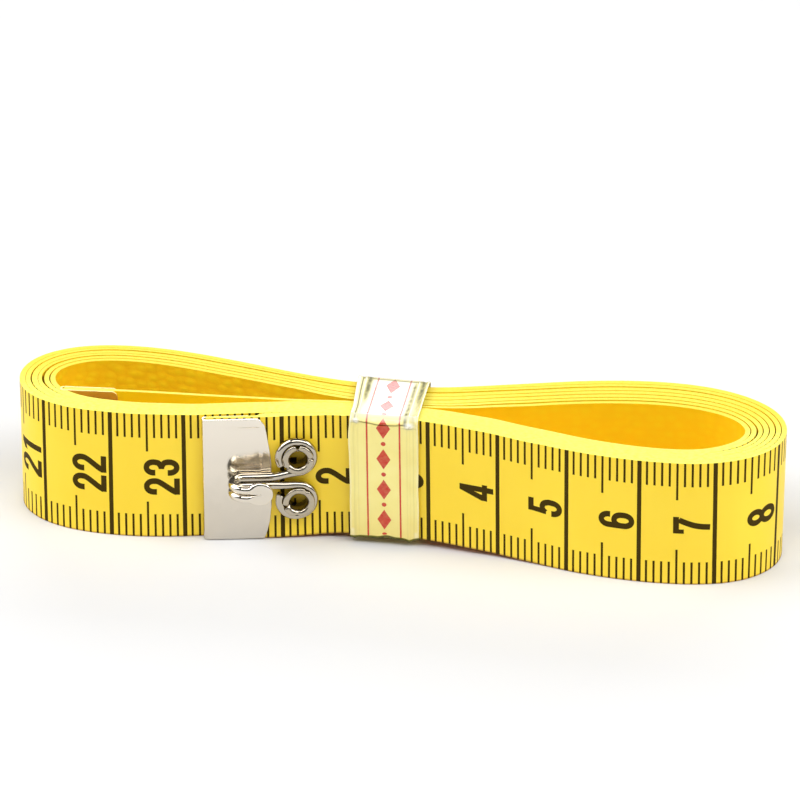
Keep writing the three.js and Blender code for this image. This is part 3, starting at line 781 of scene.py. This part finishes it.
def back_material(name="strip_back", plain_and_lit=False):
    m = Maker(name, Specular_IOR_Level=0.35)
    where = m.uv((7.0, 9.4, 1))
    cells = m.node("ShaderNodeTexVoronoi", {"Vector": where, "Scale": 1.0, "Smoothness": 0.25, "Randomness": 0.6}, feature="SMOOTH_F1").outputs["Distance"]
    swell = m.range(cells, 1.0, 0.0, 0.1, 0.75)
    fine = m.noise(m.uv(), 60.0, 2.0)
    cloud = m.noise(m.uv((1, 1, 1)), 1.3, 3.0)
    # painted shade: cells darker at their borders, mixed with a random cloud of tone
    cell_shade_and_tone = m.math("ADD", m.math("MULTIPLY", swell, 0.5), m.math("MULTIPLY", cloud, 0.5))
    plain = m.ramp(cell_shade_and_tone, (0.2, shade(255, 208, 14)), (0.8, shade(255, 217, 22)))
    shaded_cells = m.ramp(cell_shade_and_tone, (0.25, shade(252, 201, 14)), (0.7, shade(255, 217, 26)))
    # the left-hand loop gets stronger grain and darker cell borders than the right-hand one: the grain is relief, the
    # darker borders are painted shade
    side = m.range(m.place("X"), 1.0, 0.0, -14.0, 6.0)
    # plain_and_lit: a plain, brighter ramp for the inner end, painted light
    m.set("Base Color", m.ramp(cloud, (0.3, shade(255, 213, 12)), (0.7, shade(255, 220, 16))) if plain_and_lit else m.mix(side, plain, shaded_cells))
    m.set("Roughness", m.range(swell, 0.5, 0.4))
    grain = m.math("MULTIPLY", swell, 0.12 if plain_and_lit else m.range(side, 0.3, 1.0))
    m.bump(m.math("ADD", grain, m.math("MULTIPLY", fine, 0.06)), 0.32, 0.0002)
    return m.m


def edge_material():
    m = Maker("strip_edge", Roughness=0.6, Specular_IOR_Level=0.25)
    fleck = m.noise(m.uv((1, 1, 1)), 14.0, 4.0, 0.6)
    front = m.ramp(fleck, (0.25, shade(249, 238, 72)), (0.8, shade(254, 250, 126)))
    back = m.ramp(fleck, (0.25, shade(243, 215, 46)), (0.8, shade(248, 226, 78)))
    # painted light: the front bundle's edges paler and lighter than the back ones
    lit_edge_tone = m.mix(m.range(m.place("Y"), 0.0, 1.0, -3.0, 4.0), front, back)
    # painted shade: edges brown towards the bottom, to colour the shade under the lifted waist
    m.set("Base Color", m.mix(m.range(m.place("Z"), 1.0, 0.0, 2.0, 5.0), lit_edge_tone, shade(196, 122, 52)))
    m.bump(m.noise(m.uv(), 120.0, 2.0), 0.25, 0.00005)
    return m.m


def nickel_material(name, base, rough, spread, wave, low_shade=0.0, tongue=None):
    m = Maker(name, Metallic=1.0)
    where = m.object(1000.0)
    cloud = m.noise(where, 0.55, 3.0)
    hair = m.noise(m.node("ShaderNodeMapping", {"Vector": where, "Scale": (0.5, 0.5, 9.0)}).outputs["Vector"], 1.6, 3.0, 0.7)
    # painted reflection: the sheet darker towards its lower end, where it mirrors the shaded floor close in front
    high = m.math("ADD", m.range(m.place("Z"), 0.0, 1.0, 0.0, TAPE_W), m.math("MULTIPLY", cloud, 0.2))
    shaded_steps = [tuple(c * (1 - k * low_shade) for c in base) for k in (1.0, 0.8, 0.15, 0.0)]
    colour = m.ramp(high, (0.1, shaded_steps[0]), (0.35, shaded_steps[1]), (0.7, shaded_steps[2]), (1.0, shaded_steps[3]))
    if tongue:
        # painted reflection: lighter where the hammered tongue stands furthest forward, as bright as the plate
        colour = m.mix(m.range(m.place("Y"), 1.0, 0.0, -11.2, -9.6), colour, tongue)
    m.set("Base Color", colour)
    m.set("Roughness", m.range(hair, rough, rough + spread))
    m.bump(m.math("ADD", m.noise(where, 0.8, 2.0), m.math("MULTIPLY", hair, 0.04)), wave, 0.00006)
    return m.m


def film_material():
    """Printed film: plain lozenges and dots between two lines, in red. Painted shade makes folds, creases and the
    underside olive; painted highlights make rolled edges and puckers pale.
    """
    m = Maker("film", Specular_IOR_Level=0.15, Coat_Roughness=0.05, IOR=1.5)
    where = m.object(1000.0)
    cloud = m.noise(where, 0.35, 3.0)
    film = m.ramp(cloud, (0.3, shade(244, 229, 138)), (0.75, shade(248, 236, 150)))
    # painted shade: the film darker towards its foot
    film = m.mix(m.range(m.place("Z"), 1.0, 0.0, 0.5, 7.0), film, shade(237, 217, 124))
    flat = m.node("ShaderNodeSeparateXYZ", {"Vector": m.uv((1, 1, 1), name="film")})
    # painted reflection: the roof whitened where its gloss mirrors the bright surroundings
    roof_glare = m.math("MULTIPLY", m.range(flat.outputs["Y"], 0.0, 0.6, 0.9, 1.9), m.range(flat.outputs["Y"], 1.0, 0.0, 9.6, 10.6))
    across = m.math("ABSOLUTE", flat.outputs["X"], 0.0)
    film = m.mix(m.math("MULTIPLY", roof_glare, m.range(across, 1.0, 0.0, 2.2, 3.4)), film, shade(252, 251, 244))
    step = 4.7
    turn = m.math("FRACT", m.math("DIVIDE", m.math("ADD", flat.outputs["Y"], 97.0), step), 0.0)
    up = m.math("MULTIPLY", m.math("ABSOLUTE", m.math("SUBTRACT", turn, 0.5), 0.0), step)
    lozenge = m.math("LESS_THAN", m.math("ADD", m.math("DIVIDE", across, 0.95), m.math("DIVIDE", up, 1.55)), 1.0)
    far = m.math("SUBTRACT", step / 2, up)
    dot = m.math("LESS_THAN", m.math("ADD", m.math("MULTIPLY", across, across), m.math("MULTIPLY", far, far)), 0.32**2)
    line = m.math("LESS_THAN", m.math("ABSOLUTE", m.math("SUBTRACT", across, 2.2), 0.0), 0.12)
    printed = m.math("MAXIMUM", m.math("MAXIMUM", lozenge, dot), line)
    worn = m.math("MULTIPLY", printed, m.range(m.noise(where, 2.2, 3.0), 0.9, 1.0, 0.3, 0.7))
    colour = m.mix(worn, film, shade(196, 28, 6))
    # painted shade: olive in folds, creases and the underside; painted highlight: pale on rolled edges and puckers
    colour = m.mix(m.attribute("fold"), colour, shade(96, 94, 26))
    colour = m.mix(m.attribute("painted_glare"), colour, shade(246, 244, 238))
    m.set("Base Color", colour)
    m.set("Coat Weight", m.range(m.attribute("fold"), 1.0, 0.0, 0.0, 0.6))
    m.set("Roughness", m.range(m.noise(where, 0.9, 3.0), 0.16, 0.28))
    m.bump(m.noise(where, 0.9, 3.0, 0.55), 0.15, 0.0002)
    return m.m


def floor_material():
    m = Maker("floor", Specular_IOR_Level=0.1, Roughness=0.7)
    where = m.object(1.0)
    m.set("Base Color", m.ramp(m.noise(where, 3.0, 2.0), (0.3, (0.755, 0.755, 0.76)), (0.7, (0.77, 0.77, 0.775))))
    return m.m


STRIP = [face_material(), ink_material(), back_material(), edge_material()]
# the inner end's reverse is a brighter copy of the reverse: painted light
LAST = [STRIP[0], STRIP[1], back_material("strip_back_end_lit", True), STRIP[3]]  # the inner end stayed smooth
PLATE = nickel_material("nickel_sheet", shade(238, 230, 216), 0.1, 0.08, 0.1, 0.3)
DULL = nickel_material("nickel_end", shade(253, 233, 158), 0.34, 0.12, 0.1)
BRIGHT = nickel_material("nickel_wire", shade(188, 180, 165), 0.05, 0.05, 0.02, 0.0, shade(226, 218, 204))
RIVET = nickel_material("nickel_rivet", shade(184, 174, 155), 0.16, 0.1, 0.08)
FILM_LOOK = film_material()

# ---- strip -------------------------------------------------------------------
HOLE = 1.53
hole_p = float(np.interp(RING_S, SCALE_S, SCALE_AT))
free = ribbon(
    "tape_free_end_skin", -0.14, FREE_CUT, STRIP,
    [(hole_p, HOOK_Z - RING_DZ, HOLE), (hole_p, HOOK_Z + RING_DZ, HOLE)],
)
roll = ribbon("tape_roll_skin", FREE_CUT + 0.02, INNER_CUT, STRIP)
inner = ribbon("tape_inner_end_skin", INNER_CUT + 0.02, 1500.0, LAST)


# ---- tips ----------------------------------------------------------------------
def pressed(x, z):
    """Two shallow pressed panels on the front leaf, fading out towards the fold."""
    d = 0.0
    for z0, z1, x0, x1 in ((10.6, 16.95, 3.9, 7.75), (0.95, 4.9, 4.4, 7.75)):
        inside = float(smooth(z0 - 0.12, z0 + 0.16, z) * (1 - smooth(z1 - 0.16, z1 + 0.12, z)) * (1 - smooth(x1 - 0.1, x1 + 0.1, x)) * smooth(x0 - 0.8, x0 + 1.2, x))
        d += (0.1 if z0 > MID else 0.055) * inside
    bow = 0.05 * math.sin(math.pi * min(max(x / 8.5, 0), 1)) * math.cos((z - MID) / 7.0)
    return d - bow * 0.5


FRONT = [(0, 8.06), (0.03, 8.32), (0.07, 8.53), (0.15, 8.87), (0.28, 9.1), (0.42, 9.2), (0.64, 9.14), (0.743, 8.93), (0.86, 8.6), (0.945, 8.33), (0.985, 7.8), (1, 7.42)]
REAR = [(0, 6.3), (0.05, 6.7), (0.12, 6.9), (0.5, 7.0), (0.88, 6.9), (0.95, 6.7), (1, 6.2)]
start_tip = folded_tip("start_tip_skin", FRONT, REAR, 0.46, -0.36, 0.8, 0.26, 0.1, TAPE_W - 0.1, pressed, to_flap, PLATE)
END = [(0, 6.6), (0.012, 7.05), (0.04, 7.25), (0.96, 7.25), (0.988, 7.05), (1, 6.6)]
end_tip = folded_tip("end_tip_skin", END, END, 0.0, -0.83, 0.33, 0.24, 0.1, TAPE_W + 0.06, lambda x, z: 0.0, to_inner, DULL)


# ---- dress hook -------------------------------------------------------------------
def hook_mesh():
    """One wire: ring, shank, bend, flattened hairpin tongue, and back the same way."""
    r = WIRE / 2
    seat, over = r + 0.06, 0.3 + 0.06 + r + 0.06
    shank_z, hook_left, gap = 0.62, 3.3, 3.6

    def depth_at(x):
        if x >= RING_S:
            return seat + 0.08 * (1 - min(1.0, (x - RING_S) / RING_R))
        k = min(1.0, (RING_S - x) / 2.9)
        return seat + 0.08 + (over - seat - 0.08) * k * k * (3 - 2 * k)

    line = []
    for a in np.linspace(206, -72, 60):
        x, z = RING_S + RING_R * math.cos(math.radians(a)), RING_DZ + RING_R * math.sin(math.radians(a))
        line.append((x, -(seat + 0.08 * (1 - (x - RING_S) / RING_R)), z))
    low = RING_DZ - RING_R
    for x, k in ((12.3, 0.0), (11.5, 0.16), (10.7, 0.5), (9.8, 0.86), (8.9, 1.0), (7.6, 1.0), (6.6, 1.0)):
        line.append((x, -depth_at(x), low + (shank_z - low) * k))
    big = gap / 2
    cx = hook_left + big + r
    for a in np.linspace(0, math.pi, 25)[1:-1]:
        line.append((cx - big * math.sin(a), -(over + big - big * math.cos(a)), shank_z))
    tip_x, tip_r = 7.62, 0.845
    for x in (cx, 6.2, 6.7, 7.1, 7.4):
        line.append((x, -(over + gap), shank_z + (tip_r - shank_z) * float(smooth(5.9, 7.4, x))))
    for a in np.linspace(90, 0, 14):
        line.append((tip_x + tip_r * math.cos(math.radians(a)), -(over + gap), tip_r * math.sin(math.radians(a))))
    half = np.array(line)
    dense = np.array(spline([tuple(q) for q in half], 3))
    # even steps along the wire
    run = np.r_[0, np.cumsum(np.linalg.norm(np.diff(dense, axis=0), axis=1))]
    n = int(run[-1] / 0.16)
    half = np.stack([np.interp(np.linspace(0, run[-1], n), run, dense[:, k]) for k in range(3)], -1)
    path = np.r_[half, (half * (1, 1, -1))[-2::-1]]
    tip = len(half) - 1
    t = np.gradient(path, axis=0)
    t /= np.linalg.norm(t, axis=1)[:, None]
    face = np.zeros_like(path)
    face[tip] = (0, -1, 0)
    for step in (1, -1):
        i = tip
        while 0 <= i + step < len(path):
            v = face[i] - t[i + step] * (face[i] @ t[i + step])
            face[i + step] = v / np.linalg.norm(v)
            i += step
    side = np.cross(t, face)
    # flat width and thickness: round wire, hammered flat towards the tongue
    on_bill = path[:, 1] < -(over + gap) + 0.02
    flatness = np.where(on_bill, smooth(5.9, 7.35, path[:, 0]), 0)
    wide = r + (0.833 - r) * flatness
    thick = r + (0.36 - r) * flatness
    sides = 28
    rings = []
    inward = np.sign(np.einsum("ij,ij->i", side, np.stack([tip_x - path[:, 0], np.zeros(len(path)), -path[:, 2]], -1)))
    inward[np.abs(flatness) < 1e-6] = 1
    lean = np.median(inward[flatness > 0.5])
    for i in range(len(path)):
        ring = []
        for j in range(sides):
            a = 2 * math.pi * (j + 0.5) / sides
            c, s = math.cos(a), math.sin(a)
            power = 2 + (7 if c * lean > 0 else 0.9) * flatness[i]
            c2, s2 = math.copysign(abs(c) ** (2 / power), c), math.copysign(abs(s) ** (2 / power), s)
            ring.append(path[i] + side[i] * wide[i] * c2 + face[i] * thick[i] * s2)
        rings.append(ring)
    rings = np.array(rings)
    # rounded ends
    for end, way in ((0, -1), (len(path) - 1, 1)):
        caps = []
        for k, (shrink, out) in enumerate(((0.93, 0.06), (0.74, 0.13), (0.4, 0.17))):
            caps.append(path[end] + (rings[end] - path[end]) * shrink + t[end] * way * out)
        rings = np.r_[np.array(caps[::-1]), rings] if end == 0 else np.r_[rings, np.array(caps)]
        if end == 0:
            path = np.r_[np.repeat(path[:1], 3, 0), path]
            t = np.r_[np.repeat(t[:1], 3, 0), t]
    count = len(rings)
    points = rings.reshape(-1, 3)
    faces = []
    for i in range(count - 1):
        for j in range(sides):
            k = (j + 1) % sides
            faces.append((i * sides + j, i * sides + k, (i + 1) * sides + k, (i + 1) * sides + j))
    faces.append(tuple(range(sides))[::-1])
    faces.append(tuple((count - 1) * sides + j for j in range(sides)))
    return points + (-0.22, 0, HOOK_Z + 0.13), faces  # the rings sit off centre on the eyelets


hook_points, hook_faces = hook_mesh()
hook = new_object("dress_hook_skin", to_flap(hook_points), hook_faces, [BRIGHT])
fix_normals(hook)


# ---- eyelets -----------------------------------------------------------------------
def eyelet(name, dz, splits):
    """Tubular rivet: barrel through the strip, plain rear flange, and a rolled front rim that has split where it was set."""
    top, back = WIRE + 0.21, STRIP_T + 0.02
    section = [(1.2, -back - 0.2), (1.32, -back - 0.26), (2.05, -back - 0.26), (2.2, -back - 0.14), (2.2, -back - 0.02), (1.5, -back), (1.5, top - 0.25)]
    section += [(1.72, top - 0.1), (1.98, top - 0.07), (2.1, top - 0.05), (2.16, top + 0.03), (2.13, top + 0.12), (2.03, top + 0.19)]
    section += [(1.85, top + 0.225), (1.65, top + 0.215), (1.45, top + 0.15), (1.32, top + 0.03), (1.23, top - 0.14), (1.2, top - 0.4)]

    def shape(a, r, h):
        if h > top - 0.2 and r > 1.28:
            for at, width, deep in splits:
                d = abs((math.degrees(a) - at + 180) % 360 - 180)
                k = math.exp(-((d / width) ** 2))
                r -= (r - 1.42) * 0.85 * k * deep
                h -= 0.22 * k * deep
            r += 0.03 * math.sin(3 * a + dz)
            h += 0.02 * math.sin(2 * a + 2 * dz)
        return r, h

    def place(q):
        return to_flap(np.stack([RING_S + q[:, 0], -q[:, 2], HOOK_Z + dz + q[:, 1]], -1))

    return lathe(name, section, 120, place, RIVET, shape)


eyelet_upper = eyelet("eyelet_upper_skin", RING_DZ, ((92, 7, 1.0), (4, 6, 0.7), (215, 6, 0.35)))
eyelet_lower = eyelet("eyelet_lower_skin", -RING_DZ, ((196, 7, 0.9), (262, 9, 0.45), (60, 6, 0.3)))


# ---- band --------------------------------------------------------------------------
def band_mesh():
    """A film sleeve round the waist: soft corners, rolled and welded side hems, and puckers where the hems turn the front corner."""
    x0, x1 = -6.11 + OFFSET[0], 3.21 + OFFSET[0]
    y0, y1 = -4.62 - 0.22 + OFFSET[1], 5.32 + 0.22 + OFFSET[1]
    z0, z1 = 0.2, TAPE_W + WAIST_LIFT + 0.2 + 0.22
    film, rise = 0.14, 0.78  # the front stands higher than the back
    ring = []  # section round the coil: (y, z, outward y, outward z, side, share of the side)

    def straight(a, b, n, out, side, t0=0.0, t1=1.0):
        for i in range(n):
            t = i / n
            ring.append((a[0] + (b[0] - a[0]) * t, a[1] + (b[1] - a[1]) * t, *out, side, t0 + (t1 - t0) * t))

    def corner(cy, cz, r, a0, side, n=9):
        for i in range(n):
            a = math.radians(a0 - 90 * i / n)
            ring.append((cy + r * math.cos(a), cz + r * math.sin(a), math.cos(a), math.sin(a), side, i / n))

    rf, rb, rl = 1.0, 0.7, 0.5
    knee = z1 - rf - 0.9
    straight((y0, z0 + rl), (y0, knee), 44, (-1, 0), 0, 0.0, 0.94)
    straight((y0, knee), (y0, z1 - rf), 18, (-1, 0), 0, 0.94, 1.0)
    turn = len(ring)
    corner(y0 + rf, z1 - rf, rf, 180, 1, 22)
    straight((y0 + rf, z1), (y1 - rb, z1), 60, (0, 1), 2)
    corner(y1 - rb, z1 - rb, rb, 90, 3, 10)
    straight((y1, z1 - rb), (y1, z0 + rl), 34, (1, 0), 4)
    corner(y1 - rl, z0 + rl, rl, 0, 5, 7)
    straight((y1 - rl, z0), (y0 + rl, z0), 18, (0, -1), 6)
    corner(y0 + rl, z0 + rl, rl, 270, 7, 7)
    ring = np.array(ring)
    loop = np.r_[ring, ring[:1]]
    run = np.r_[0, np.cumsum(np.hypot(np.diff(loop[:, 0]), np.diff(loop[:, 1])))]
    run -= run[turn]
    wide = x1 - x0
    edge = np.linspace(0, 2.6, 46)
    cols = np.r_[edge, np.linspace(2.6, wide - 2.6, 30)[1:-1], wide - edge[::-1]]
    xs = x0 + cols
    foot_at = np.array([(0, -0.11), (0.5, -0.08), (1.3, 0.08), (2.2, 0.12), (3.5, 0.19), (5.1, 0.42), (7.2, 0.09), (8.0, -0.08), (8.6, 0.2), (9.4, 0.36)])
    crease_at = np.array([(0, 0.1), (1.2, 0.16), (2.5, 0.0), (4.0, -0.19), (6.0, -0.17), (7.3, 0.0), (9.4, 0.1)])

    def bell(v, mid, size):
        return math.exp(-(((v - mid) / size) ** 2))

    def wrinkle(x, y, lean):
        big = noise.noise(Vector((x * 1.5 + lean * y * 0.5, y * 1.0, 4.0)))
        small = noise.noise(Vector((x * 3.1 - lean * y * 0.8, y * 2.5, 11.0)))
        return min(max(0.5 + 0.8 * big + 0.5 * small, 0.0), 1.0)

    def surface(x, y, z, side, t, v):
        """Height of the film above its plain section, and how much painted shade (fold) and painted highlight
        (painted_glare) it has there.
        """
        e = min(x - x0, x1 - x)
        left = x - x0 < x1 - x
        q = Vector((x * 0.55, y * 0.55, z * 0.35))
        soft = noise.noise(q) * 0.04
        ridge = 1.02 if left else 1.3
        if side in (1, 2, 3):
            share = 1.0
        elif side in (0, 4):
            share = 0.38 + 0.5 * float(smooth(0.96, 1.0, t if side == 0 else 1 - t))
        else:
            share = 0.3
        d = share * (0.10 * bell(e, 0.16, 0.17) - 0.05 * bell(e, 0.62, 0.12) + 0.10 * bell(e, ridge, 0.10)) + soft
        fold, painted_glare = 0.0, 0.0
        if side in (1, 2, 3):
            # painted highlights on the rolled hem edges and ridges; painted shade in the folds beside them
            painted_glare = (0.6 * bell(e, 0.14, 0.2) if left else 0.5 * bell(e, 0.04, 0.07)) + 0.65 * bell(e, ridge, 0.085)
            far = t if side == 2 else (0.0 if side == 1 else 1.0)
            speck = 0.5 + 0.5 * noise.noise(Vector((x * 2.1, y * 1.6, 8.0)))
            if left:
                w = wrinkle(x, y, 0.9)
                fold = 1.0 * bell(e, 0.66, 0.12)
                zone = bell(e, 1.48, 0.33) * float(smooth(0.2, 0.65, far))
                fold = max(fold, zone * (0.75 + 0.45 * w))
                d += 0.07 * zone * (w - 0.5)
            else:
                w = wrinkle(x, y, -1.1)
                zone = bell(e, 0.68, 0.4) * (0.4 + 0.6 * float(smooth(0.25, 0.7, far)))
                fold = zone * (0.7 + 0.55 * w)
                d += 0.08 * zone * (w - 0.5)
                inner = bell(e, 1.72, 0.28) * (1 - 0.6 * float(smooth(0.8, 1.0, far)))
                fold = max(fold, inner * (0.35 + 0.6 * w))
                d += 0.06 * inner * (w - 0.5)
            if side == 3:
                fold = max(fold, 0.9 * bell(t, 0.3, 0.2) * (0.6 + 0.4 * speck))
            if side == 1:
                painted_glare = max(painted_glare, 0.42 * float(smooth(0.05, 0.7, t)))
        if side == 2:
            fold = max(fold, 0.9 * float(smooth(0.93, 0.98, t)) * float(smooth(0.3, 0.8, e)))
            d -= 0.04 * math.sin(math.pi * t) * float(smooth(0.9, 2.4, e))
        if side in (0, 4):
            d += 0.05 * math.sin(math.pi * t) * math.cos((x - (x0 + x1) / 2) * 0.45)
            painted_glare = 0.2 * bell(e, 0.1, 0.14)
            fold = 0.16 * bell(e, 0.66, 0.07) + 0.1 * bell(e, ridge + 0.22, 0.07) + 0.08 * bell(e, ridge - 0.18, 0.06)
        if side in (0, 1) and abs(v) < 1.6:
            # a crease under the rounded front corner, between two puckers: painted shade in the crease, painted
            # highlights on the puckers
            at = x - x0
            mid = float(eased(crease_at, at)) + 0.05 * noise.noise(Vector((x * 1.1, 3.0, 1.0)))
            span = float(smooth(0.9, 1.5, at)) * (1 - float(smooth(wide - 1.9, wide - 1.3, at)))
            depth = bell(v, mid, 0.075)
            d -= 0.18 * depth * (0.25 + 0.75 * span)
            d += 0.09 * bell(v, mid + 0.3, 0.2) * span
            fold = max(fold, depth * (0.95 * span + 0.3 * (1 - span)) * (0.75 + 0.35 * noise.noise(Vector((x * 2.3, 6.0, 2.0)))))
            for where, size, low, tall, high in ((0.85, 0.5, 0.34, 0.34, 0.26), (wide - 1.22, 0.62, 0.0, 0.42, 0.40)):
                lump = bell(at, where, size) * bell(v, low, tall)
                d += high * lump * (0.85 + 0.5 * noise.noise(Vector((x * 3.1, v * 3.0, 5.0))))
                painted_glare = max(painted_glare, min(0.78, 1.1 * lump))
                fold = max(fold, 0.8 * lump * float(smooth(0.1, 0.4, noise.noise(Vector((x * 3.6, v * 4.2, 2.0))))))
                rim = bell(at, where, size * 1.25) * bell(v, low - tall * 1.15, 0.09)
                fold = max(fold, 0.55 * rim)
                d -= 0.06 * rim
        # painted shade: the whole underside olive
        if side == 7:
            fold = 1.0
        # painted highlight on the lower front edge at the left
        if side == 0 and t < 0.05:
            painted_glare = max(painted_glare, 0.5 * bell(e, 0.3, 0.35) * (0.5 + 0.5 * noise.noise(Vector((x * 2.0, z * 2.0, 3.0)))))
        if side in (5, 6, 7):
            d = 0.3 * d
        return d, min(max(fold, 0.0), 1.0), min(max(painted_glare, 0.0), 1.0)

    outer, inside, fold_shades, painted_glares = [], [], [], []
    for (y, z, ny, nz, side, t), v in zip(ring, run):
        row_o, row_i = [], []
        side = int(side)
        high = float(smooth(z1 - 3.0, z1, z))
        ragged = 1 - float(smooth(z0, z0 + 1.4, z))
        away = float(smooth(-3.0, 5.0, y))
        for x in xs:
            d, fold, painted_glare = surface(x, y, z, side, t, v)
            e = min(x - x0, x1 - x)
            w = 0.08 * noise.noise(Vector((y * 0.35, z * 0.3, 9.0 + (0 if x < 0 else 4)))) * (1 - float(smooth(0.0, 1.6, e)))
            if x - x0 < 2.4:
                w += (0.24 - 0.52 * away) * high * (1 - float(smooth(0.0, 2.4, x - x0)))
            up = rise * (1 - min(max((y + 4.9) / 10.2, 0.0), 1.0)) + ragged * 0.16 * noise.noise(Vector((x * 0.75, 7.0, 1.5)))
            if side in (0, 7):
                up += ragged * float(eased(foot_at, x - x0))
            up += 0.24 * high * away * (1 - (x - x0) / wide)
            py, pz = y + ny * d, z + nz * d + up
            thin = film * (1 - 0.7 * high * float(smooth(x1 - 2.2, x1 - 0.4, x)))
            iy, iz = py - ny * thin, pz - nz * thin
            if side == 7 and t > 0.35:
                py, iy = py - 0.2 * (1 - t), iy - 0.2 * (1 - t)
            elif side in (5, 6, 7):
                low = min(float(lift(x + k, min(max(iy, -4.5), 5.4))) for k in (-0.9, 0.0, 0.9))
                iz = min(iz, low + 0.0)
                pz = min(pz, iz - 0.04)
            row_o.append((x + w, py, pz))
            row_i.append((x + w, iy, iz))
            fold_shades.append(fold)
            painted_glares.append(painted_glare)
        outer.append(row_o)
        inside.append(row_i)
    rows, count = len(ring), len(xs)
    n = rows * count
    at = lambda i, j: (i % rows) * count + j
    flat = xs - (x0 + x1) / 2
    faces, uv = [], []
    for i in range(rows):
        va, vb = run[i], run[i + 1]
        for j in range(count - 1):
            a, b, c, d = at(i, j), at(i + 1, j), at(i + 1, j + 1), at(i, j + 1)
            corners = [(flat[j], va), (flat[j], vb), (flat[j + 1], vb), (flat[j + 1], va)]
            faces += [(a, b, c, d), (d + n, c + n, b + n, a + n)]
            uv += corners + corners[::-1]
        faces.append((at(i + 1, 0), at(i, 0), at(i, 0) + n, at(i + 1, 0) + n))
        faces.append((at(i, count - 1), at(i + 1, count - 1), at(i + 1, count - 1) + n, at(i, count - 1) + n))
        uv += [(flat[0], vb), (flat[0], va), (flat[0], va), (flat[0], vb), (flat[-1], va), (flat[-1], vb), (flat[-1], vb), (flat[-1], va)]
    points = np.r_[settle(np.array(outer)).reshape(-1, 3), settle(np.array(inside)).reshape(-1, 3)]
    ob = new_object("band_skin", points, faces, [FILM_LOOK])
    me = ob.data
    me.uv_layers.new(name="film").data.foreach_set("uv", np.array(uv, np.float32).ravel())
    # painted shade (fold) and painted highlight (painted_glare) for the film's colour
    for name, values in (("fold", fold_shades), ("painted_glare", painted_glares)):
        me.attributes.new(name, "FLOAT", "POINT").data.foreach_set("value", np.array(values + values, np.float32))
    fix_normals(ob)
    me.set_sharp_from_angle(angle=math.radians(75))
    return ob


band = band_mesh()

# ---- on the frame ----------------------------------------------------------------
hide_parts("tape_free_end")
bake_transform(free)
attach(roll, "roll")
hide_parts("tape_roll")
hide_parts("tape_inner_end")
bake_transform(inner)
for ob, node, body in (
    (start_tip, "start_tip", "free_end"),
    (hook, "dress_hook", "free_end"),
    (eyelet_upper, "eyelet_upper", "free_end"),
    (eyelet_lower, "eyelet_lower", "free_end"),
    (end_tip, "end_tip", "inner_end"),
    (band, "band", "band"),
):
    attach(ob, body)
    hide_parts(node)
lengths = {free: along(FREE_CUT), roll: along(INNER_CUT) - along(FREE_CUT), inner: S[-1] - along(INNER_CUT)}

# ---- floor, light, camera -----------------------------------------------------------
floor = new_object(
    "floor", [(-3000, -3000, -0.02), (3000, -3000, -0.02), (3000, 3000, -0.02), (-3000, 3000, -0.02)], [(0, 1, 2, 3)], [floor_material()]
)

scene = bpy.context.scene
scene.view_settings.view_transform = "Standard"
scene.view_settings.look = "None"
world = bpy.data.worlds.new("studio")
scene.world = world
world.use_nodes = True
sky = world.node_tree
way = sky.nodes.new("ShaderNodeTexCoord")
axes = sky.nodes.new("ShaderNodeSeparateXYZ")
fade = sky.nodes.new("ShaderNodeValToRGB")
fade.color_ramp.elements[0].position, fade.color_ramp.elements[0].color = 0.0, (0.2, 0.2, 0.2, 1)
fade.color_ramp.elements[1].position, fade.color_ramp.elements[1].color = 0.75, (0.04, 0.04, 0.04, 1)
sky.links.new(way.outputs["Generated"], axes.inputs["Vector"])
sky.links.new(axes.outputs["Z"], fade.inputs["Fac"])
sky.links.new(fade.outputs["Color"], sky.nodes["Background"].inputs["Color"])
sky.nodes["Background"].inputs["Strength"].default_value = 1.0


def softbox(name, at, look, size, power, colour=(1, 1, 1)):
    data = bpy.data.lights.new(name, "AREA")
    data.shape, data.size, data.size_y = "RECTANGLE", size[0], size[1]
    data.energy, data.color = power, colour
    ob = bpy.data.objects.new(name, data)
    ob.location = at
    ob.rotation_mode = "QUATERNION"
    ob.rotation_quaternion = (Vector(look) - Vector(at)).to_track_quat("-Z", "Y")
    scene.collection.objects.link(ob)


softbox("left", (-0.98, -0.16, 0.82), (0, -0.03, 0.01), (0.9, 0.7), 10.2)
softbox("right", (0.9, -0.28, 0.85), (0, -0.03, 0.01), (0.9, 0.7), 9.0)
softbox("back", (0.05, 1.15, 0.58), (0, 0, 0.01), (1.5, 0.6), 8.8)
softbox("front", (0.05, -0.86, 1.22), (0, 0, 0.01), (1.4, 0.5), 11.0)
softbox("left_low", (-0.85, -0.1, 0.25), (0, 0, 0.01), (0.5, 0.35), 1.2)
softbox("right_low", (0.85, 0.02, 0.25), (0, 0, 0.01), (0.5, 0.35), 0.8)

e, r, a = math.radians(27.593), math.radians(-0.269), math.radians(8.9)
look = Vector((0, math.cos(e), -math.sin(e)))
right0 = Vector((1, 0, 0))
up0 = right0.cross(look)
right = math.cos(r) * right0 + math.sin(r) * up0
up = -math.sin(r) * right0 + math.cos(r) * up0
turn = Matrix.Rotation(a, 3, "Z")
right, up, look = turn @ right, turn @ up, turn @ look
where = Vector((-0.0055957, 0.0357214, 0)) - 1.02806 * look
cam_data = bpy.data.cameras.new("camera")
cam_data.sensor_width, cam_data.lens = 36.0, 7400 / 800 * 36.0
cam_data.clip_start, cam_data.clip_end = 0.05, 20.0
camera = bpy.data.objects.new("camera", cam_data)
camera.matrix_world = Matrix(
    (
        (right.x, up.x, -look.x, where.x),
        (right.y, up.y, -look.y, where.y),
        (right.z, up.z, -look.z, where.z),
        (0, 0, 0, 1),
    )
)
scene.collection.objects.link(camera)
scene.camera = camera

bpy.context.view_layer.update()
